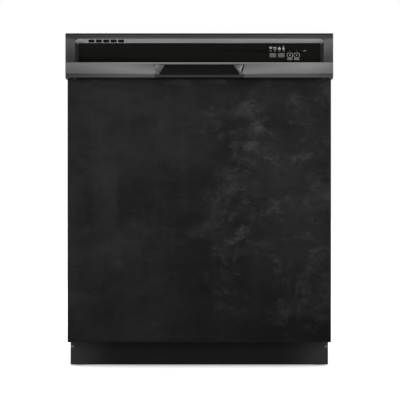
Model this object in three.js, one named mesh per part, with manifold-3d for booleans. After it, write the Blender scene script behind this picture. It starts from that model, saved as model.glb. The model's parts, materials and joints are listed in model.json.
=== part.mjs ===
// Built-in dishwasher, 24 inch front-control type, as it comes out of its cabinet opening.
// Millimetres, +Z up. The origin is on the floor below the middle, and the door faces -Y.
// The tub, its frame and the water works stand still; the door, racks, arms and small parts move.
import * as THREE from "three";
import { mergeVertices } from "three/addons/utils/BufferGeometryUtils.js";
import Module from "manifold-3d";

const wasm = await Module();
wasm.setup();

// ---------- Driving dimensions: overall ----------
const WIDTH = 606; // across the console and the handle band
const HEIGHT = 759; // floor to console top, with the legs run right in
const DEPTH = 620; // handle band to rear frame
const GAP = 0.3; // kept between pieces that touch
const SIDES = [-1, 1];

// ---------- Driving dimensions: door and console ----------
const CONSOLE_HEIGHT = 103; // handle band and control housing together
const BAND_HEIGHT = 36.2;
const BAND_WALL = 2.5;
const BAND_RADIUS = 12; // lower front edge
const BAND_SEAM = 0.6; // between the band and the control housing
const HOUSING_SETBACK = 2; // control housing behind the band's face
const HOUSING_FRONT_WALL = 12.3;
const HOUSING_WALL = 2.5;
const HOUSING_RADIUS = 8; // upper front edge
const RECESS_SIDE = 21; // end of the housing to the display recess
const RECESS_TOP = 13.2; // top of the housing to the display recess
const RECESS_TAPER = 8.5; // the recess narrows by this at each end
const RECESS_SLOPE = 8.8; // and its upper wall comes down by this
const RECESS_RADIUS = 11;
const CONTROL_PANEL_THICKNESS = 3;
const CONTROL_PANEL_LAP = 5; // hidden behind the housing at each end
const DOOR_SIDE_INSET = 4; // door edge inside the console's end
const DOOR_SETBACK = 14; // door face behind the band's face
const DOOR_BOTTOM = 58;
const DOOR_DEPTH = 51;
const DOOR_SHEET = 1.2; // steel of the outer panel
const DOOR_COVER = 0.5; // finished sheet over it
const DOOR_EDGE_REVEAL = 2.3; // outer panel showing round the finished sheet
const LINER_THICKNESS = 2;
const LINER_SIDE_INSET = 15; // liner inside the outer panel's edge
const LINER_RECESS = 8; // depth of the liner's pressed field
const LINER_BOTTOM = 88;
const HINGE_BACK = 28; // hinge axis behind the door's face
const HINGE_UP = 26; // hinge axis above the door's lower edge
const HINGE_ARM = 3; // steel of the hinge arm
const HINGE_ARM_LENGTH = 166;
const HINGE_PIN_RADIUS = 4;
const PULLEY_RADIUS = 40; // of the cord's middle, about the hinge
const CORD_RADIUS = 1.5;
const CORD_LENGTH = 118;
const SPRING_RADIUS = 5.5;
const SPRING_LENGTH = 227;

// ---------- Driving dimensions: handle pocket ----------
const POCKET_HALF_TOP = 103;
const POCKET_HALF_BOTTOM = 96;
const POCKET_BACK_HALF_TOP = 79;
const POCKET_BACK_HALF_BOTTOM = 94;
const POCKET_DEPTH = 25;
const POCKET_WALL = 2;
const POCKET_MARGIN = 4.5; // band top to pocket mouth
const POCKET_SILL = 8; // band bottom to pocket mouth

// ---------- Driving dimensions: buttons and vents ----------
const KEY_TRAVEL_SPACE = 0.8; // key face in front of the panel
const KEY_DEPTH = 5;
const KEY_FLANGE = 1.6;
const KEY_LAP = 1.5; // flange behind the panel, above and below the key
const KEYS = [
  { name: "cycle_button", fromEnd: 115, width: 14.8, height: 9.4, radius: 1 },
  { name: "options_button", fromEnd: 95.8, width: 14.8, height: 9.4, radius: 1 },
  { name: "start_button", fromEnd: 76.3, width: 13.9, height: 11.9, radius: 3.6 },
  { name: "cancel_button", fromEnd: 61, width: 13.9, height: 11.9, radius: 3.6 },
];
const KEY_RISE = 17.3; // band top to the middle of the keys
const VENT = { count: 5, fromEnd: 37.8, pitch: 16.7, width: 13.6, height: 6.1, drop: 17.75 };

// ---------- Driving dimensions: tub and its fittings ----------
const TUB_WALL = 2.5;
const TUB_SIDE_SPACE = 22.5; // outside the tub at each side
const TUB_TOP_SPACE = 28.5;
const TUB_REAR_SPACE = 19.5;
const TUB_FLOOR = 112; // upper face of the tub's floor
const TUB_CORNER = 22;
const TUB_LIP = 10; // front lip and wheel ledges
const LEDGE_WIDTH = 26;
const FLANGE_THICKNESS = 3;
const FLANGE_REACH = 4;
const SEAL_SPACE = 7; // door liner to tub flange
const SEAL_WIDTH = 6;
const BLANKET_THICKNESS = 8;
const BLANKET_BOTTOM = 150;
const SUMP_RADIUS = 85; // hole in the tub's floor
const SUMP_BOTTOM = 48;
const SUMP_WALL = 2.5;
const SUMP_RIM = 7;
const SUMP_DECK = 108; // underside of the plate over the sump
const SUMP_DECK_THICKNESS = 3;
const SUMP_POST_RADIUS = 14;
const SUMP_POST_TOP = 131;
const FILTER_RADIUS = 24;
const FILTER_OFFSET = 42; // filter in front of the sump's middle
const PUMP_HEIGHT = 72; // wash pump's axis above the floor
const VOLUTE_RADIUS = 34;
const VOLUTE_LENGTH = 25;
const IMPELLER_RADIUS = 27;
const IMPELLER_LENGTH = 20;
const SHAFT_RADIUS = 3;
const MOTOR_LENGTH = 90;
const HEATER_RADIUS = 4;
const HEATER_MARGIN = 22; // heater loop inside the lower arm's sweep
const FEED_RADIUS = 8;
const FEED_BEND = 14;

// ---------- Driving dimensions: racks and arms ----------
const WIRE = 4;
const RACK_WIRE_INSET = 50; // first and last floor wire inside the rack
const LOWER_ARM_MARGIN = 41; // arm tip to the nearest tub wall
const UPPER_ARM_MARGIN = 53;
const WHEEL_RADIUS = 17;
const WHEEL_WIDTH = 10;
const AXLE_RADIUS = 4;
const LOWER_RACK_SIDE = 28; // rack to the tub's side wall
const UPPER_RACK_SIDE = 30;
const LOWER_RACK_HEIGHT = 129;
const UPPER_RACK_FLOOR = 442;
const UPPER_RACK_HEIGHT = 103;
const ROLLER_RADIUS = 10;
const ROLLER_WIDTH = 9;
const RAIL_WALL = 1.7;
const BASKET = { half: 118, depth: 80, height: 125, handle: 45, wall: 3, cells: 3 };

// ---------- Driving dimensions: frame, legs and toe panel ----------
const RAIL_SHEET = 2;
const RAIL_BOTTOM = 16;
const RAIL_HEIGHT = 50;
const CROSS_DEPTH = 12;
const CROSS_HEIGHT = 44;
const LEG_ROD_RADIUS = 5;
const LEG_ROD_TOP = 90;
const FOOT_RADIUS = 16;
const FOOT_HEIGHT = 8;
const TOE_BACK = 74; // toe panel behind the band's face
const TOE_TOP = 55;
const TOE_BOTTOM = 2;
const TOE_SHEET = 1.2;
const TOE_SIDE_INSET = 6.5;

// ---------- Places worked out from the driving dimensions ----------
const HALF = WIDTH / 2;
const FRONT = -DEPTH / 2;
const REAR = DEPTH / 2;
const BAND_BOTTOM = HEIGHT - CONSOLE_HEIGHT;
const BAND_TOP = BAND_BOTTOM + BAND_HEIGHT;
const HOUSING_BOTTOM = BAND_TOP + BAND_SEAM;
const HOUSING_FRONT = FRONT + HOUSING_SETBACK;
const HOUSING_INSIDE = HOUSING_FRONT + HOUSING_FRONT_WALL;
const RECESS_HALF = HALF - RECESS_SIDE;
const RECESS_CEILING = HEIGHT - RECESS_TOP;
const DOOR_HALF = HALF - DOOR_SIDE_INSET;
const DOOR_FRONT = FRONT + DOOR_SETBACK;
const DOOR_REAR = DOOR_FRONT + DOOR_DEPTH;
const DOOR_TOP = BAND_BOTTOM - 2 * GAP;
const PANEL_FRONT = DOOR_FRONT + DOOR_COVER + GAP; // outer panel behind its finished sheet
const PANEL_BACK = PANEL_FRONT + DOOR_SHEET;
const CASE_BACK = DOOR_REAR - 5; // rear edge of the door's steel case
const LINER_HALF = DOOR_HALF - LINER_SIDE_INSET;
const LINER_TOP = HEIGHT - 6;
const FIELD_BACK = DOOR_REAR - LINER_RECESS; // face of the liner's pressed field
const HINGE_Y = DOOR_FRONT + HINGE_BACK;
const HINGE_Z = DOOR_BOTTOM + HINGE_UP;
const TUB_OUTER = HALF - TUB_SIDE_SPACE;
const TUB_HALF = TUB_OUTER - TUB_WALL;
const TUB_ROOF = HEIGHT - TUB_TOP_SPACE;
const TUB_CEILING = TUB_ROOF - TUB_WALL;
const TUB_UNDERSIDE = TUB_FLOOR - TUB_WALL;
const TUB_OUTER_REAR = REAR - TUB_REAR_SPACE;
const TUB_REAR = TUB_OUTER_REAR - TUB_WALL;
const FLANGE_FRONT = DOOR_REAR + SEAL_SPACE;
const TUB_FRONT = FLANGE_FRONT + FLANGE_THICKNESS;
const LEDGE_TOP = TUB_FLOOR + TUB_LIP;
const SPRAY_Y = (TUB_FRONT + TUB_REAR) / 2;
const REACH_ROOM = Math.min(TUB_HALF, (TUB_REAR - TUB_FRONT) / 2);
const LOWER_ARM_REACH = REACH_ROOM - LOWER_ARM_MARGIN;
const UPPER_ARM_REACH = REACH_ROOM - UPPER_ARM_MARGIN;
const LOWER_ARM_Z = SUMP_POST_TOP + GAP;
const MANIFOLD_Z = UPPER_RACK_FLOOR - 11; // level of the upper feed pipe
const RACK_FRONT = TUB_FRONT + 14;
const RACK_REAR = TUB_REAR - 26;
const AXLE_Z = LEDGE_TOP + GAP + WHEEL_RADIUS;
const LOWER_RACK_FLOOR = AXLE_Z + 16.7;
const LOWER_RACK_HALF = TUB_HALF - LOWER_RACK_SIDE;
const WHEEL_X = TUB_HALF - 24; // inner face of a wheel
const WHEEL_YS = [RACK_FRONT + RACK_WIRE_INSET - 1, RACK_REAR - RACK_WIRE_INSET];
const UPPER_RACK_HALF = TUB_HALF - UPPER_RACK_SIDE;
const ROLLER_Z = UPPER_RACK_FLOOR + 52;
const ROLLER_YS = [TUB_FRONT + 45, TUB_FRONT + 255];
const ROLLER_X = TUB_HALF - 12; // inner face of a roller
const RAIL_X = TUB_HALF - 16; // inner face of a rack rail
const FEED_Y = TUB_REAR - 13;
const FEED_Z = TUB_FLOOR + 9.5;
const RAIL_INNER = HALF - 12.5; // inner face of a frame rail
const RAIL_OUTER = RAIL_INNER + RAIL_SHEET;
const RAIL_REAR = REAR - CROSS_DEPTH - GAP;
const TOE_FRONT = FRONT + TOE_BACK;
const LEG_X = HALF - 27;
const LEG_YS = [TOE_FRONT + 31, RAIL_REAR - 17.7];
const CORD_X = HALF - 15.5;
const CORD_Z = HINGE_Z + PULLEY_RADIUS;
const SPRING_Y = HINGE_Y + CORD_LENGTH + 11;
const SPRING_POST_Y = SPRING_Y + SPRING_LENGTH + 2;
const FLOAT = { x: TUB_HALF - 78, y: TUB_FRONT + 45, dome: 24, stem: 4 };

// ---------- Materials ----------
function finish(color, roughness, metalness) {
  return new THREE.MeshStandardMaterial({ color, roughness, metalness });
}
const blackSteel = finish(0x55585a, 0.38, 0.9);
const slateSheet = finish(0x2b2d30, 0.5, 0.3);
const paintedSteel = finish(0x1b1c1e, 0.55, 0.2);
const glossBlack = finish(0x0e0e0d, 0.12, 0);
const keyGrey = finish(0xb9bcbd, 0.4, 0);
const stainless = finish(0xb4b7ba, 0.3, 0.95);
const zincSteel = finish(0x9aa0a4, 0.42, 0.85);
const greyPlastic = finish(0x7d8388, 0.5, 0);
const whitePlastic = finish(0xd8dadb, 0.45, 0);
const blackPlastic = finish(0x1a1a1b, 0.5, 0);
const rackCoating = finish(0x8f969b, 0.45, 0.1);
const sealRubber = finish(0x202022, 0.8, 0);
const feltBlanket = finish(0x35353a, 0.95, 0);
const heaterSteel = finish(0x6b6e72, 0.45, 0.9);

// ---------- Solids: three.js makes the shapes, manifold-3d joins and cuts them ----------
const AXIS_X = new THREE.Vector3(1, 0, 0);
const AXIS_Y = new THREE.Vector3(0, 1, 0);
const AXIS_Z = new THREE.Vector3(0, 0, 1);
const FULL_TURN = 2 * Math.PI;
const QUARTER = Math.PI / 2;
const FINE_STEPS = 8; // on the rounds that show at the front

// A closed geometry as a solid: shared corners are merged, and triangles that vanish are dropped.
function solidOf(geometry) {
  const bare = new THREE.BufferGeometry();
  bare.setAttribute("position", geometry.getAttribute("position"));
  bare.setIndex(geometry.index);
  const merged = mergeVertices(bare);
  const corners = merged.index.array;
  const kept = [];
  for (let i = 0; i < corners.length; i += 3) {
    const [a, b, c] = corners.subarray(i, i + 3);
    if (a !== b && b !== c && c !== a) kept.push(a, b, c);
  }
  const vertProperties = merged.attributes.position.array;
  const triVerts = new Uint32Array(kept);
  return new wasm.Manifold(new wasm.Mesh({ numProp: 3, vertProperties, triVerts }));
}

function geometryOf(solid) {
  const mesh = solid.getMesh();
  const geometry = new THREE.BufferGeometry();
  geometry.setAttribute("position", new THREE.BufferAttribute(mesh.vertProperties, 3));
  geometry.setIndex(new THREE.BufferAttribute(mesh.triVerts, 1));
  geometry.computeVertexNormals();
  return geometry;
}

function join(...solids) {
  return solids.flat().reduce((whole, piece) => whole.add(piece));
}

function cut(solid, ...tools) {
  return tools.flat().reduce((whole, tool) => whole.subtract(tool), solid);
}

// A box between two limits on each axis, given in either order.
function block([x0, x1], [y0, y1], [z0, z1]) {
  const box = new THREE.BoxGeometry(Math.abs(x1 - x0), Math.abs(y1 - y0), Math.abs(z1 - z0));
  return solidOf(box.translate((x0 + x1) / 2, (y0 + y1) / 2, (z0 + z1) / 2));
}

function extruded(shape, length, curveSegments) {
  return new THREE.ExtrudeGeometry(shape, { depth: length, bevelEnabled: false, curveSegments });
}

// A shape drawn in (y, z) and run along X.
function alongX(shape, [x0, x1], curveSegments = 3) {
  const geometry = extruded(shape, Math.abs(x1 - x0), curveSegments);
  geometry.applyMatrix4(new THREE.Matrix4().makeBasis(AXIS_Y, AXIS_Z, AXIS_X));
  return solidOf(geometry.translate(Math.min(x0, x1), 0, 0));
}

// A shape drawn in (x, z) and run along Y.
function alongY(shape, [y0, y1], curveSegments = 3) {
  const geometry = extruded(shape, Math.abs(y1 - y0), curveSegments);
  const backwards = AXIS_Y.clone().negate();
  geometry.applyMatrix4(new THREE.Matrix4().makeBasis(AXIS_X, AXIS_Z, backwards));
  return solidOf(geometry.translate(0, Math.max(y0, y1), 0));
}

// A shape drawn in (x, y) and run along Z.
function alongZ(shape, [z0, z1], curveSegments = 3) {
  const geometry = extruded(shape, Math.abs(z1 - z0), curveSegments);
  return solidOf(geometry.translate(0, 0, Math.min(z0, z1)));
}

function polygon(points) {
  return new THREE.Shape(points.map(([u, v]) => new THREE.Vector2(u, v)));
}

function circle(u, v, radius) {
  return new THREE.Shape().absarc(u, v, radius, 0, FULL_TURN, false);
}

function rounded([u0, u1], [v0, v1], radius) {
  const shape = new THREE.Shape();
  shape.absarc(u1 - radius, v0 + radius, radius, -QUARTER, 0, false);
  shape.absarc(u1 - radius, v1 - radius, radius, 0, QUARTER, false);
  shape.absarc(u0 + radius, v1 - radius, radius, QUARTER, Math.PI, false);
  shape.absarc(u0 + radius, v0 + radius, radius, Math.PI, 3 * QUARTER, false);
  shape.closePath();
  return shape;
}

// A profile of [radius, height] corners, drawn upwards on its outside, turned about Z.
function turned(profile, sides = 20) {
  const points = profile.map(([radius, height]) => new THREE.Vector2(radius, height));
  return solidOf(new THREE.LatheGeometry(points, sides).rotateX(QUARTER));
}

// A round tube or rod that follows a path.
function tube(path, radius, steps, sideSegments = 4) {
  const settings = { extrudePath: path, steps, bevelEnabled: false, curveSegments: sideSegments };
  return solidOf(new THREE.ExtrudeGeometry(circle(0, 0, radius), settings));
}

// A level arc about a centre.
class LevelArc extends THREE.Curve {
  constructor(centre, radius, start, end) {
    super();
    Object.assign(this, { centre, radius, start, end });
  }

  getPoint(t, target = new THREE.Vector3()) {
    const angle = this.start + (this.end - this.start) * t;
    const across = this.radius * Math.cos(angle);
    const along = this.radius * Math.sin(angle);
    return target.set(this.centre.x + across, this.centre.y + along, this.centre.z);
  }
}

function spaced(first, last, count) {
  return Array.from({ length: count }, (_, i) => first + ((last - first) * i) / (count - 1));
}

// ---------- The scene: one group for each thing that moves as a whole ----------
const dishwasher = new THREE.Group();
const cabinet = new THREE.Group();
const door = new THREE.Group();
const upperRack = new THREE.Group();
const lowerRack = new THREE.Group();
dishwasher.add(cabinet, door, upperRack, lowerRack);

function part(group, name, solid, material, [x, y, z] = [0, 0, 0]) {
  const mesh = new THREE.Mesh(geometryOf(solid), material);
  mesh.name = name;
  mesh.position.set(x, y, z);
  group.add(mesh);
}

function sideName(side) {
  return side < 0 ? "left" : "right";
}

// ---------- Tub, seal and blanket ----------
function addTub() {
  const innerCorner = TUB_CORNER - TUB_WALL;
  const outside = rounded([-TUB_OUTER, TUB_OUTER], [TUB_UNDERSIDE, TUB_ROOF], TUB_CORNER);
  const inside = rounded([-TUB_HALF, TUB_HALF], [TUB_FLOOR, TUB_CEILING], innerCorner);
  const mouth = rounded([-TUB_HALF, TUB_HALF], [LEDGE_TOP, TUB_CEILING], innerCorner);
  const flangeHalf = TUB_OUTER + FLANGE_REACH;
  const flangeTop = TUB_ROOF + FLANGE_REACH;
  const flange = rounded([-flangeHalf, flangeHalf], [TUB_FLOOR - TUB_LIP, flangeTop], TUB_CORNER);
  let tub = join(
    alongY(outside, [FLANGE_FRONT, TUB_OUTER_REAR]),
    alongY(flange, [FLANGE_FRONT, TUB_FRONT]),
  );
  tub = cut(
    tub,
    alongY(inside, [TUB_FRONT, TUB_REAR]),
    alongY(mouth, [FLANGE_FRONT - 1, TUB_FRONT + 1]),
  );
  for (const side of SIDES) {
    const ledge = [side * (TUB_HALF - LEDGE_WIDTH), side * (TUB_HALF + 1)];
    tub = join(tub, block(ledge, [TUB_FRONT - 1, TUB_REAR + 1], [TUB_UNDERSIDE + 1, LEDGE_TOP]));
    for (const y of ROLLER_YS) {
      const pin = [side * (RAIL_X + RAIL_WALL + 0.8), side * (TUB_HALF + 1)];
      tub = join(tub, alongX(circle(y, ROLLER_Z, SHAFT_RADIUS), pin, 5));
    }
  }
  const floorCut = [TUB_UNDERSIDE - 1, TUB_FLOOR + 1];
  const heater = heaterEnds();
  tub = cut(
    tub,
    alongZ(circle(0, SPRAY_Y, SUMP_RADIUS + 1), floorCut, 18),
    alongZ(circle(FLOAT.x, FLOAT.y, FLOAT.stem + 1), floorCut, 6),
    heater.map(([x, y]) => alongZ(circle(x, y, HEATER_RADIUS + 1), floorCut, 6)),
  );
  part(cabinet, "tub", tub, stainless);
}

function addSeal() {
  const outer = TUB_HALF + SEAL_WIDTH;
  const outerTop = TUB_CEILING + SEAL_WIDTH;
  const ring = rounded([-outer, outer], [TUB_FLOOR, outerTop], TUB_CORNER + 3);
  const hole = rounded([-TUB_HALF, TUB_HALF], [TUB_FLOOR - 1, TUB_CEILING], TUB_CORNER - 3);
  const span = [DOOR_REAR + GAP, FLANGE_FRONT - GAP];
  const cutSpan = [span[0] - 1, span[1] + 1];
  const below = block([-HALF, HALF], cutSpan, [TUB_FLOOR - 2, LEDGE_TOP + SEAL_WIDTH]);
  part(cabinet, "door_gasket", cut(alongY(ring, span), alongY(hole, cutSpan), below), sealRubber);
}

function addBlanket() {
  const inner = TUB_OUTER + 0.5;
  const roof = TUB_ROOF + 0.5;
  const rear = TUB_OUTER_REAR + 0.5;
  const outer = inner + BLANKET_THICKNESS;
  const front = TUB_FRONT + 10;
  const whole = block(
    [-outer, outer],
    [front, rear + BLANKET_THICKNESS],
    [BLANKET_BOTTOM, roof + BLANKET_THICKNESS],
  );
  const hollow = rounded([-inner, inner], [BLANKET_BOTTOM - 40, roof], TUB_CORNER);
  part(cabinet, "insulation_blanket", cut(whole, alongY(hollow, [front - 1, rear])), feltBlanket);
}

// ---------- Frame rails, rear member, legs, toe panel and brackets ----------
function addFrame() {
  const railTop = RAIL_BOTTOM + RAIL_HEIGHT;
  const tubSeat = TUB_UNDERSIDE - GAP;
  const frontPost = [TUB_FRONT - 3, TUB_FRONT + 30];
  const rearPost = [RAIL_REAR - 35.7, RAIL_REAR];
  const railFront = TOE_FRONT + 14;
  const web = polygon([
    [railFront, RAIL_BOTTOM],
    [RAIL_REAR, RAIL_BOTTOM],
    [RAIL_REAR, tubSeat],
    [rearPost[0], tubSeat],
    [rearPost[0], railTop],
    [SPRING_POST_Y + 10, railTop],
    [SPRING_POST_Y + 10, CORD_Z + 6],
    [SPRING_POST_Y, CORD_Z + 6],
    [SPRING_POST_Y, railTop],
    [frontPost[1], railTop],
    [frontPost[1], tubSeat],
    [frontPost[0], tubSeat],
    [HINGE_Y, HINGE_Z + 10],
    [HINGE_Y - 8, HINGE_Z + 6],
    [HINGE_Y - 10, HINGE_Z],
    [HINGE_Y - 8, HINGE_Z - 6],
    [HINGE_Y, HINGE_Z - 10],
    [railFront, TOE_TOP + 3],
  ]);
  const legPlate = RAIL_INNER - 28.5;
  for (const side of SIDES) {
    const webSpan = [side * RAIL_INNER, side * RAIL_OUTER];
    const plate = [side * legPlate, side * RAIL_INNER];
    const flange = block(
      [side * legPlate, side * RAIL_OUTER],
      [railFront, RAIL_REAR],
      [RAIL_BOTTOM, RAIL_BOTTOM + RAIL_SHEET],
    );
    const seats = [
      block(plate, [TUB_FRONT + GAP, frontPost[1]], [tubSeat - RAIL_SHEET, tubSeat]),
      block(plate, rearPost, [tubSeat - RAIL_SHEET, tubSeat]),
    ];
    const pinSpan = [side * (CORD_X - 1.8), side * (RAIL_INNER + 1)];
    const pin = alongX(circle(HINGE_Y, HINGE_Z, HINGE_PIN_RADIUS), pinSpan, 6);
    const legHoles = LEG_YS.map((y) =>
      alongZ(circle(side * LEG_X, y, LEG_ROD_RADIUS + GAP), [RAIL_BOTTOM - 1, railTop], 6),
    );
    const rail = cut(join(alongX(web, webSpan), flange, seats, pin), legHoles);
    part(cabinet, `${sideName(side)}_side_rail`, rail, zincSteel);
  }

  const member = cut(
    block([-RAIL_INNER, RAIL_INNER], [REAR - CROSS_DEPTH, REAR], [RAIL_BOTTOM, RAIL_BOTTOM + CROSS_HEIGHT]),
    block(
      [-HALF, HALF],
      [REAR - CROSS_DEPTH - 1, REAR - RAIL_SHEET],
      [RAIL_BOTTOM + RAIL_SHEET, RAIL_BOTTOM + CROSS_HEIGHT - RAIL_SHEET],
    ),
  );
  part(cabinet, "rear_cross_member", member, zincSteel);
}

function addLegs() {
  const leg = turned([
    [0, 0],
    [FOOT_RADIUS, 0],
    [FOOT_RADIUS, FOOT_HEIGHT - 2],
    [FOOT_RADIUS - 2, FOOT_HEIGHT],
    [LEG_ROD_RADIUS, FOOT_HEIGHT],
    [LEG_ROD_RADIUS, LEG_ROD_TOP],
    [0, LEG_ROD_TOP],
  ], 12);
  for (const side of SIDES) {
    const [frontY, rearY] = LEG_YS;
    part(cabinet, `${sideName(side)}_front_leg`, leg, zincSteel, [side * LEG_X, frontY, 0]);
    part(cabinet, `${sideName(side)}_rear_leg`, leg, zincSteel, [side * LEG_X, rearY, 0]);
  }
}

function addToePanel() {
  const half = HALF - TOE_SIDE_INSET;
  const back = TOE_FRONT + TOE_SHEET;
  const returnDepth = 20;
  const pieces = [
    block([-half, half], [TOE_FRONT, back], [TOE_BOTTOM, TOE_TOP]),
    block([-half, half], [TOE_FRONT, TOE_FRONT + 12], [TOE_TOP - TOE_SHEET, TOE_TOP]),
    block([-half, half], [TOE_FRONT, TOE_FRONT + 8], [TOE_BOTTOM, TOE_BOTTOM + TOE_SHEET]),
  ];
  for (const side of SIDES) {
    const edge = [side * (half - TOE_SHEET), side * half];
    pieces.push(block(edge, [TOE_FRONT, TOE_FRONT + returnDepth], [TOE_BOTTOM, TOE_TOP]));
  }
  part(cabinet, "toe_panel", join(pieces), paintedSteel);
}

function addCounterBrackets() {
  const spacing = 170;
  const halfWidth = 15;
  const sheet = 2;
  const tabDepth = 30;
  const back = TUB_FRONT + GAP;
  for (const side of SIDES) {
    const across = [side * (spacing - halfWidth), side * (spacing + halfWidth)];
    const leg = block(across, [back, back + sheet], [TUB_ROOF + GAP, HEIGHT]);
    const tab = block(across, [back, back + tabDepth], [HEIGHT - sheet, HEIGHT]);
    const screwHole = alongZ(circle(side * spacing, back + tabDepth / 2, 3), [HEIGHT - 3, HEIGHT + 1]);
    const bracket = cut(join(leg, tab), screwHole);
    part(cabinet, `${sideName(side)}_counter_bracket`, bracket, zincSteel);
  }
}

// ---------- Water works ----------
function addSump() {
  const wall = SUMP_RADIUS - GAP;
  const rimTop = TUB_FLOOR + GAP + 2.7;
  const deckTop = SUMP_DECK + SUMP_DECK_THICKNESS;
  const inner = wall - SUMP_WALL;
  const bowl = turned([
    [0, SUMP_BOTTOM],
    [wall - 25, SUMP_BOTTOM],
    [wall, SUMP_BOTTOM + 22],
    [wall, TUB_FLOOR + GAP],
    [wall + SUMP_RIM, TUB_FLOOR + GAP],
    [wall + SUMP_RIM, rimTop],
    [inner, rimTop],
    [inner, deckTop],
    [SUMP_POST_RADIUS, deckTop],
    [SUMP_POST_RADIUS, SUMP_POST_TOP],
    [0, SUMP_POST_TOP],
  ], 32);
  const hollow = turned([
    [0, SUMP_BOTTOM + SUMP_WALL],
    [wall - 27, SUMP_BOTTOM + SUMP_WALL],
    [inner, SUMP_BOTTOM + 23],
    [inner, SUMP_DECK],
    [0, SUMP_DECK],
  ], 32);
  const pump = circle(0, PUMP_HEIGHT, VOLUTE_RADIUS);
  const chamber = circle(0, PUMP_HEIGHT, VOLUTE_RADIUS - 3);
  const end = wall + VOLUTE_LENGTH;
  const chamberStart = wall - 9.7;
  const port = alongY(circle(0, FEED_Z, FEED_RADIUS + 1), [wall - 10, wall + SUMP_RIM], 6);
  const body = join(bowl, alongX(pump, [wall - 25, end], 8), port);
  const sump = cut(
    body,
    hollow,
    alongX(chamber, [chamberStart, end + 1], 8),
    alongX(circle(0, PUMP_HEIGHT, 12), [wall - 30, chamberStart + 1], 6),
    alongZ(circle(0, -FILTER_OFFSET, FILTER_RADIUS + 1), [SUMP_DECK - 1, deckTop + 1], 8),
  );
  part(cabinet, "sump", sump, blackPlastic, [0, SPRAY_Y, 0]);

  const impellerStart = chamberStart + 9;
  const bore = SHAFT_RADIUS + GAP;
  const blades = spaced(0, FULL_TURN, 7).slice(1).map((angle) => {
    const blade = block([2, IMPELLER_LENGTH], [-1.2, 1.2], [bore + 1, IMPELLER_RADIUS]);
    return blade.rotate([THREE.MathUtils.radToDeg(angle), 0, 0]);
  });
  const impeller = cut(
    join(
      alongX(circle(0, 0, IMPELLER_RADIUS), [0, 3], 8),
      alongX(circle(0, 0, bore + 3), [0, IMPELLER_LENGTH], 6),
      blades,
    ),
    alongX(circle(0, 0, bore), [-1, IMPELLER_LENGTH + 1], 6),
  );
  part(cabinet, "wash_impeller", impeller, whitePlastic, [impellerStart, SPRAY_Y, PUMP_HEIGHT]);

  const motorStart = end + GAP;
  const motor = join(
    alongX(circle(0, 0, VOLUTE_RADIUS + 1), [0, 6], 9),
    alongX(circle(0, 0, VOLUTE_RADIUS - 2), [0, MOTOR_LENGTH], 9),
    alongX(circle(0, 0, SHAFT_RADIUS), [impellerStart - motorStart + 2, 1], 5),
  );
  part(cabinet, "wash_motor", motor, zincSteel, [motorStart, SPRAY_Y, PUMP_HEIGHT]);

  const drainStart = wall + GAP;
  const drain = join(
    alongX(circle(0, 0, 24), [-drainStart, -drainStart - 20], 8),
    alongX(circle(0, 0, 19), [-drainStart - 19, -drainStart - 63], 8),
    alongY(circle(-drainStart - 10, 0, 9), [0, 48], 6),
  );
  part(cabinet, "drain_pump", drain, blackPlastic, [0, SPRAY_Y, PUMP_HEIGHT - 6]);

  const cup = join(
    turned([
      [0, 0],
      [FILTER_RADIUS, 0],
      [FILTER_RADIUS, deckTop + GAP - 66],
      [FILTER_RADIUS + 3.5, deckTop + GAP - 66],
      [FILTER_RADIUS + 3.5, deckTop + 2 - 66],
      [FILTER_RADIUS - 2, deckTop + 2 - 66],
      [FILTER_RADIUS - 2, 2],
      [0, 2],
    ], 16),
    block([1 - FILTER_RADIUS, FILTER_RADIUS - 1], [-3, 3], [deckTop - 66, 124 - 66]),
  );
  part(cabinet, "filter_cup", cup, greyPlastic, [0, SPRAY_Y - FILTER_OFFSET, 66]);
}

// Where the two ends of the heater go down through the tub's floor.
const HEATER_OPENING = THREE.MathUtils.degToRad(12);
function heaterEnds() {
  const loop = LOWER_ARM_REACH - HEATER_MARGIN;
  const across = loop * Math.sin(HEATER_OPENING);
  const along = SPRAY_Y + loop * Math.cos(HEATER_OPENING);
  return [[-across, along], [across, along]];
}

function addHeater() {
  const level = TUB_FLOOR + 12;
  const loop = LOWER_ARM_REACH - HEATER_MARGIN;
  const path = new LevelArc(
    new THREE.Vector3(0, SPRAY_Y, level),
    loop,
    QUARTER + HEATER_OPENING,
    QUARTER + FULL_TURN - HEATER_OPENING,
  );
  const legs = heaterEnds().map(([x, y]) =>
    alongZ(circle(x, y, HEATER_RADIUS), [TUB_FLOOR - 12, level], 3),
  );
  part(cabinet, "heating_element", join(tube(path, HEATER_RADIUS, 48, 3), legs), heaterSteel);
}

function addFeedTube() {
  const start = SPRAY_Y + SUMP_RADIUS + SUMP_RIM;
  const corner = FEED_Y - FEED_BEND;
  const at = (y, z) => new THREE.Vector3(0, y, z);
  const path = new THREE.CurvePath();
  path.add(new THREE.LineCurve3(at(start, FEED_Z), at(corner, FEED_Z)));
  path.add(
    new THREE.QuadraticBezierCurve3(
      at(corner, FEED_Z),
      at(FEED_Y, FEED_Z),
      at(FEED_Y, FEED_Z + FEED_BEND),
    ),
  );
  path.add(new THREE.LineCurve3(at(FEED_Y, FEED_Z + FEED_BEND), at(FEED_Y, MANIFOLD_Z - FEED_BEND)));
  path.add(
    new THREE.QuadraticBezierCurve3(
      at(FEED_Y, MANIFOLD_Z - FEED_BEND),
      at(FEED_Y, MANIFOLD_Z),
      at(corner, MANIFOLD_Z),
    ),
  );
  path.add(new THREE.LineCurve3(at(corner, MANIFOLD_Z), at(corner - 6, MANIFOLD_Z)));
  part(cabinet, "spray_feed_tube", tube(path, FEED_RADIUS, 44), greyPlastic);
}

function addInletValve() {
  const valve = join(
    block([-20, 20], [-25, 15], [0, 30]),
    alongZ(circle(-8, -5, 11), [29, 45], 6),
    alongY(circle(8, 15, 8), [14, 35], 6),
  );
  part(cabinet, "inlet_valve", valve, whitePlastic, [68 - TUB_HALF, TUB_FRONT + 45, 25]);
}

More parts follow.
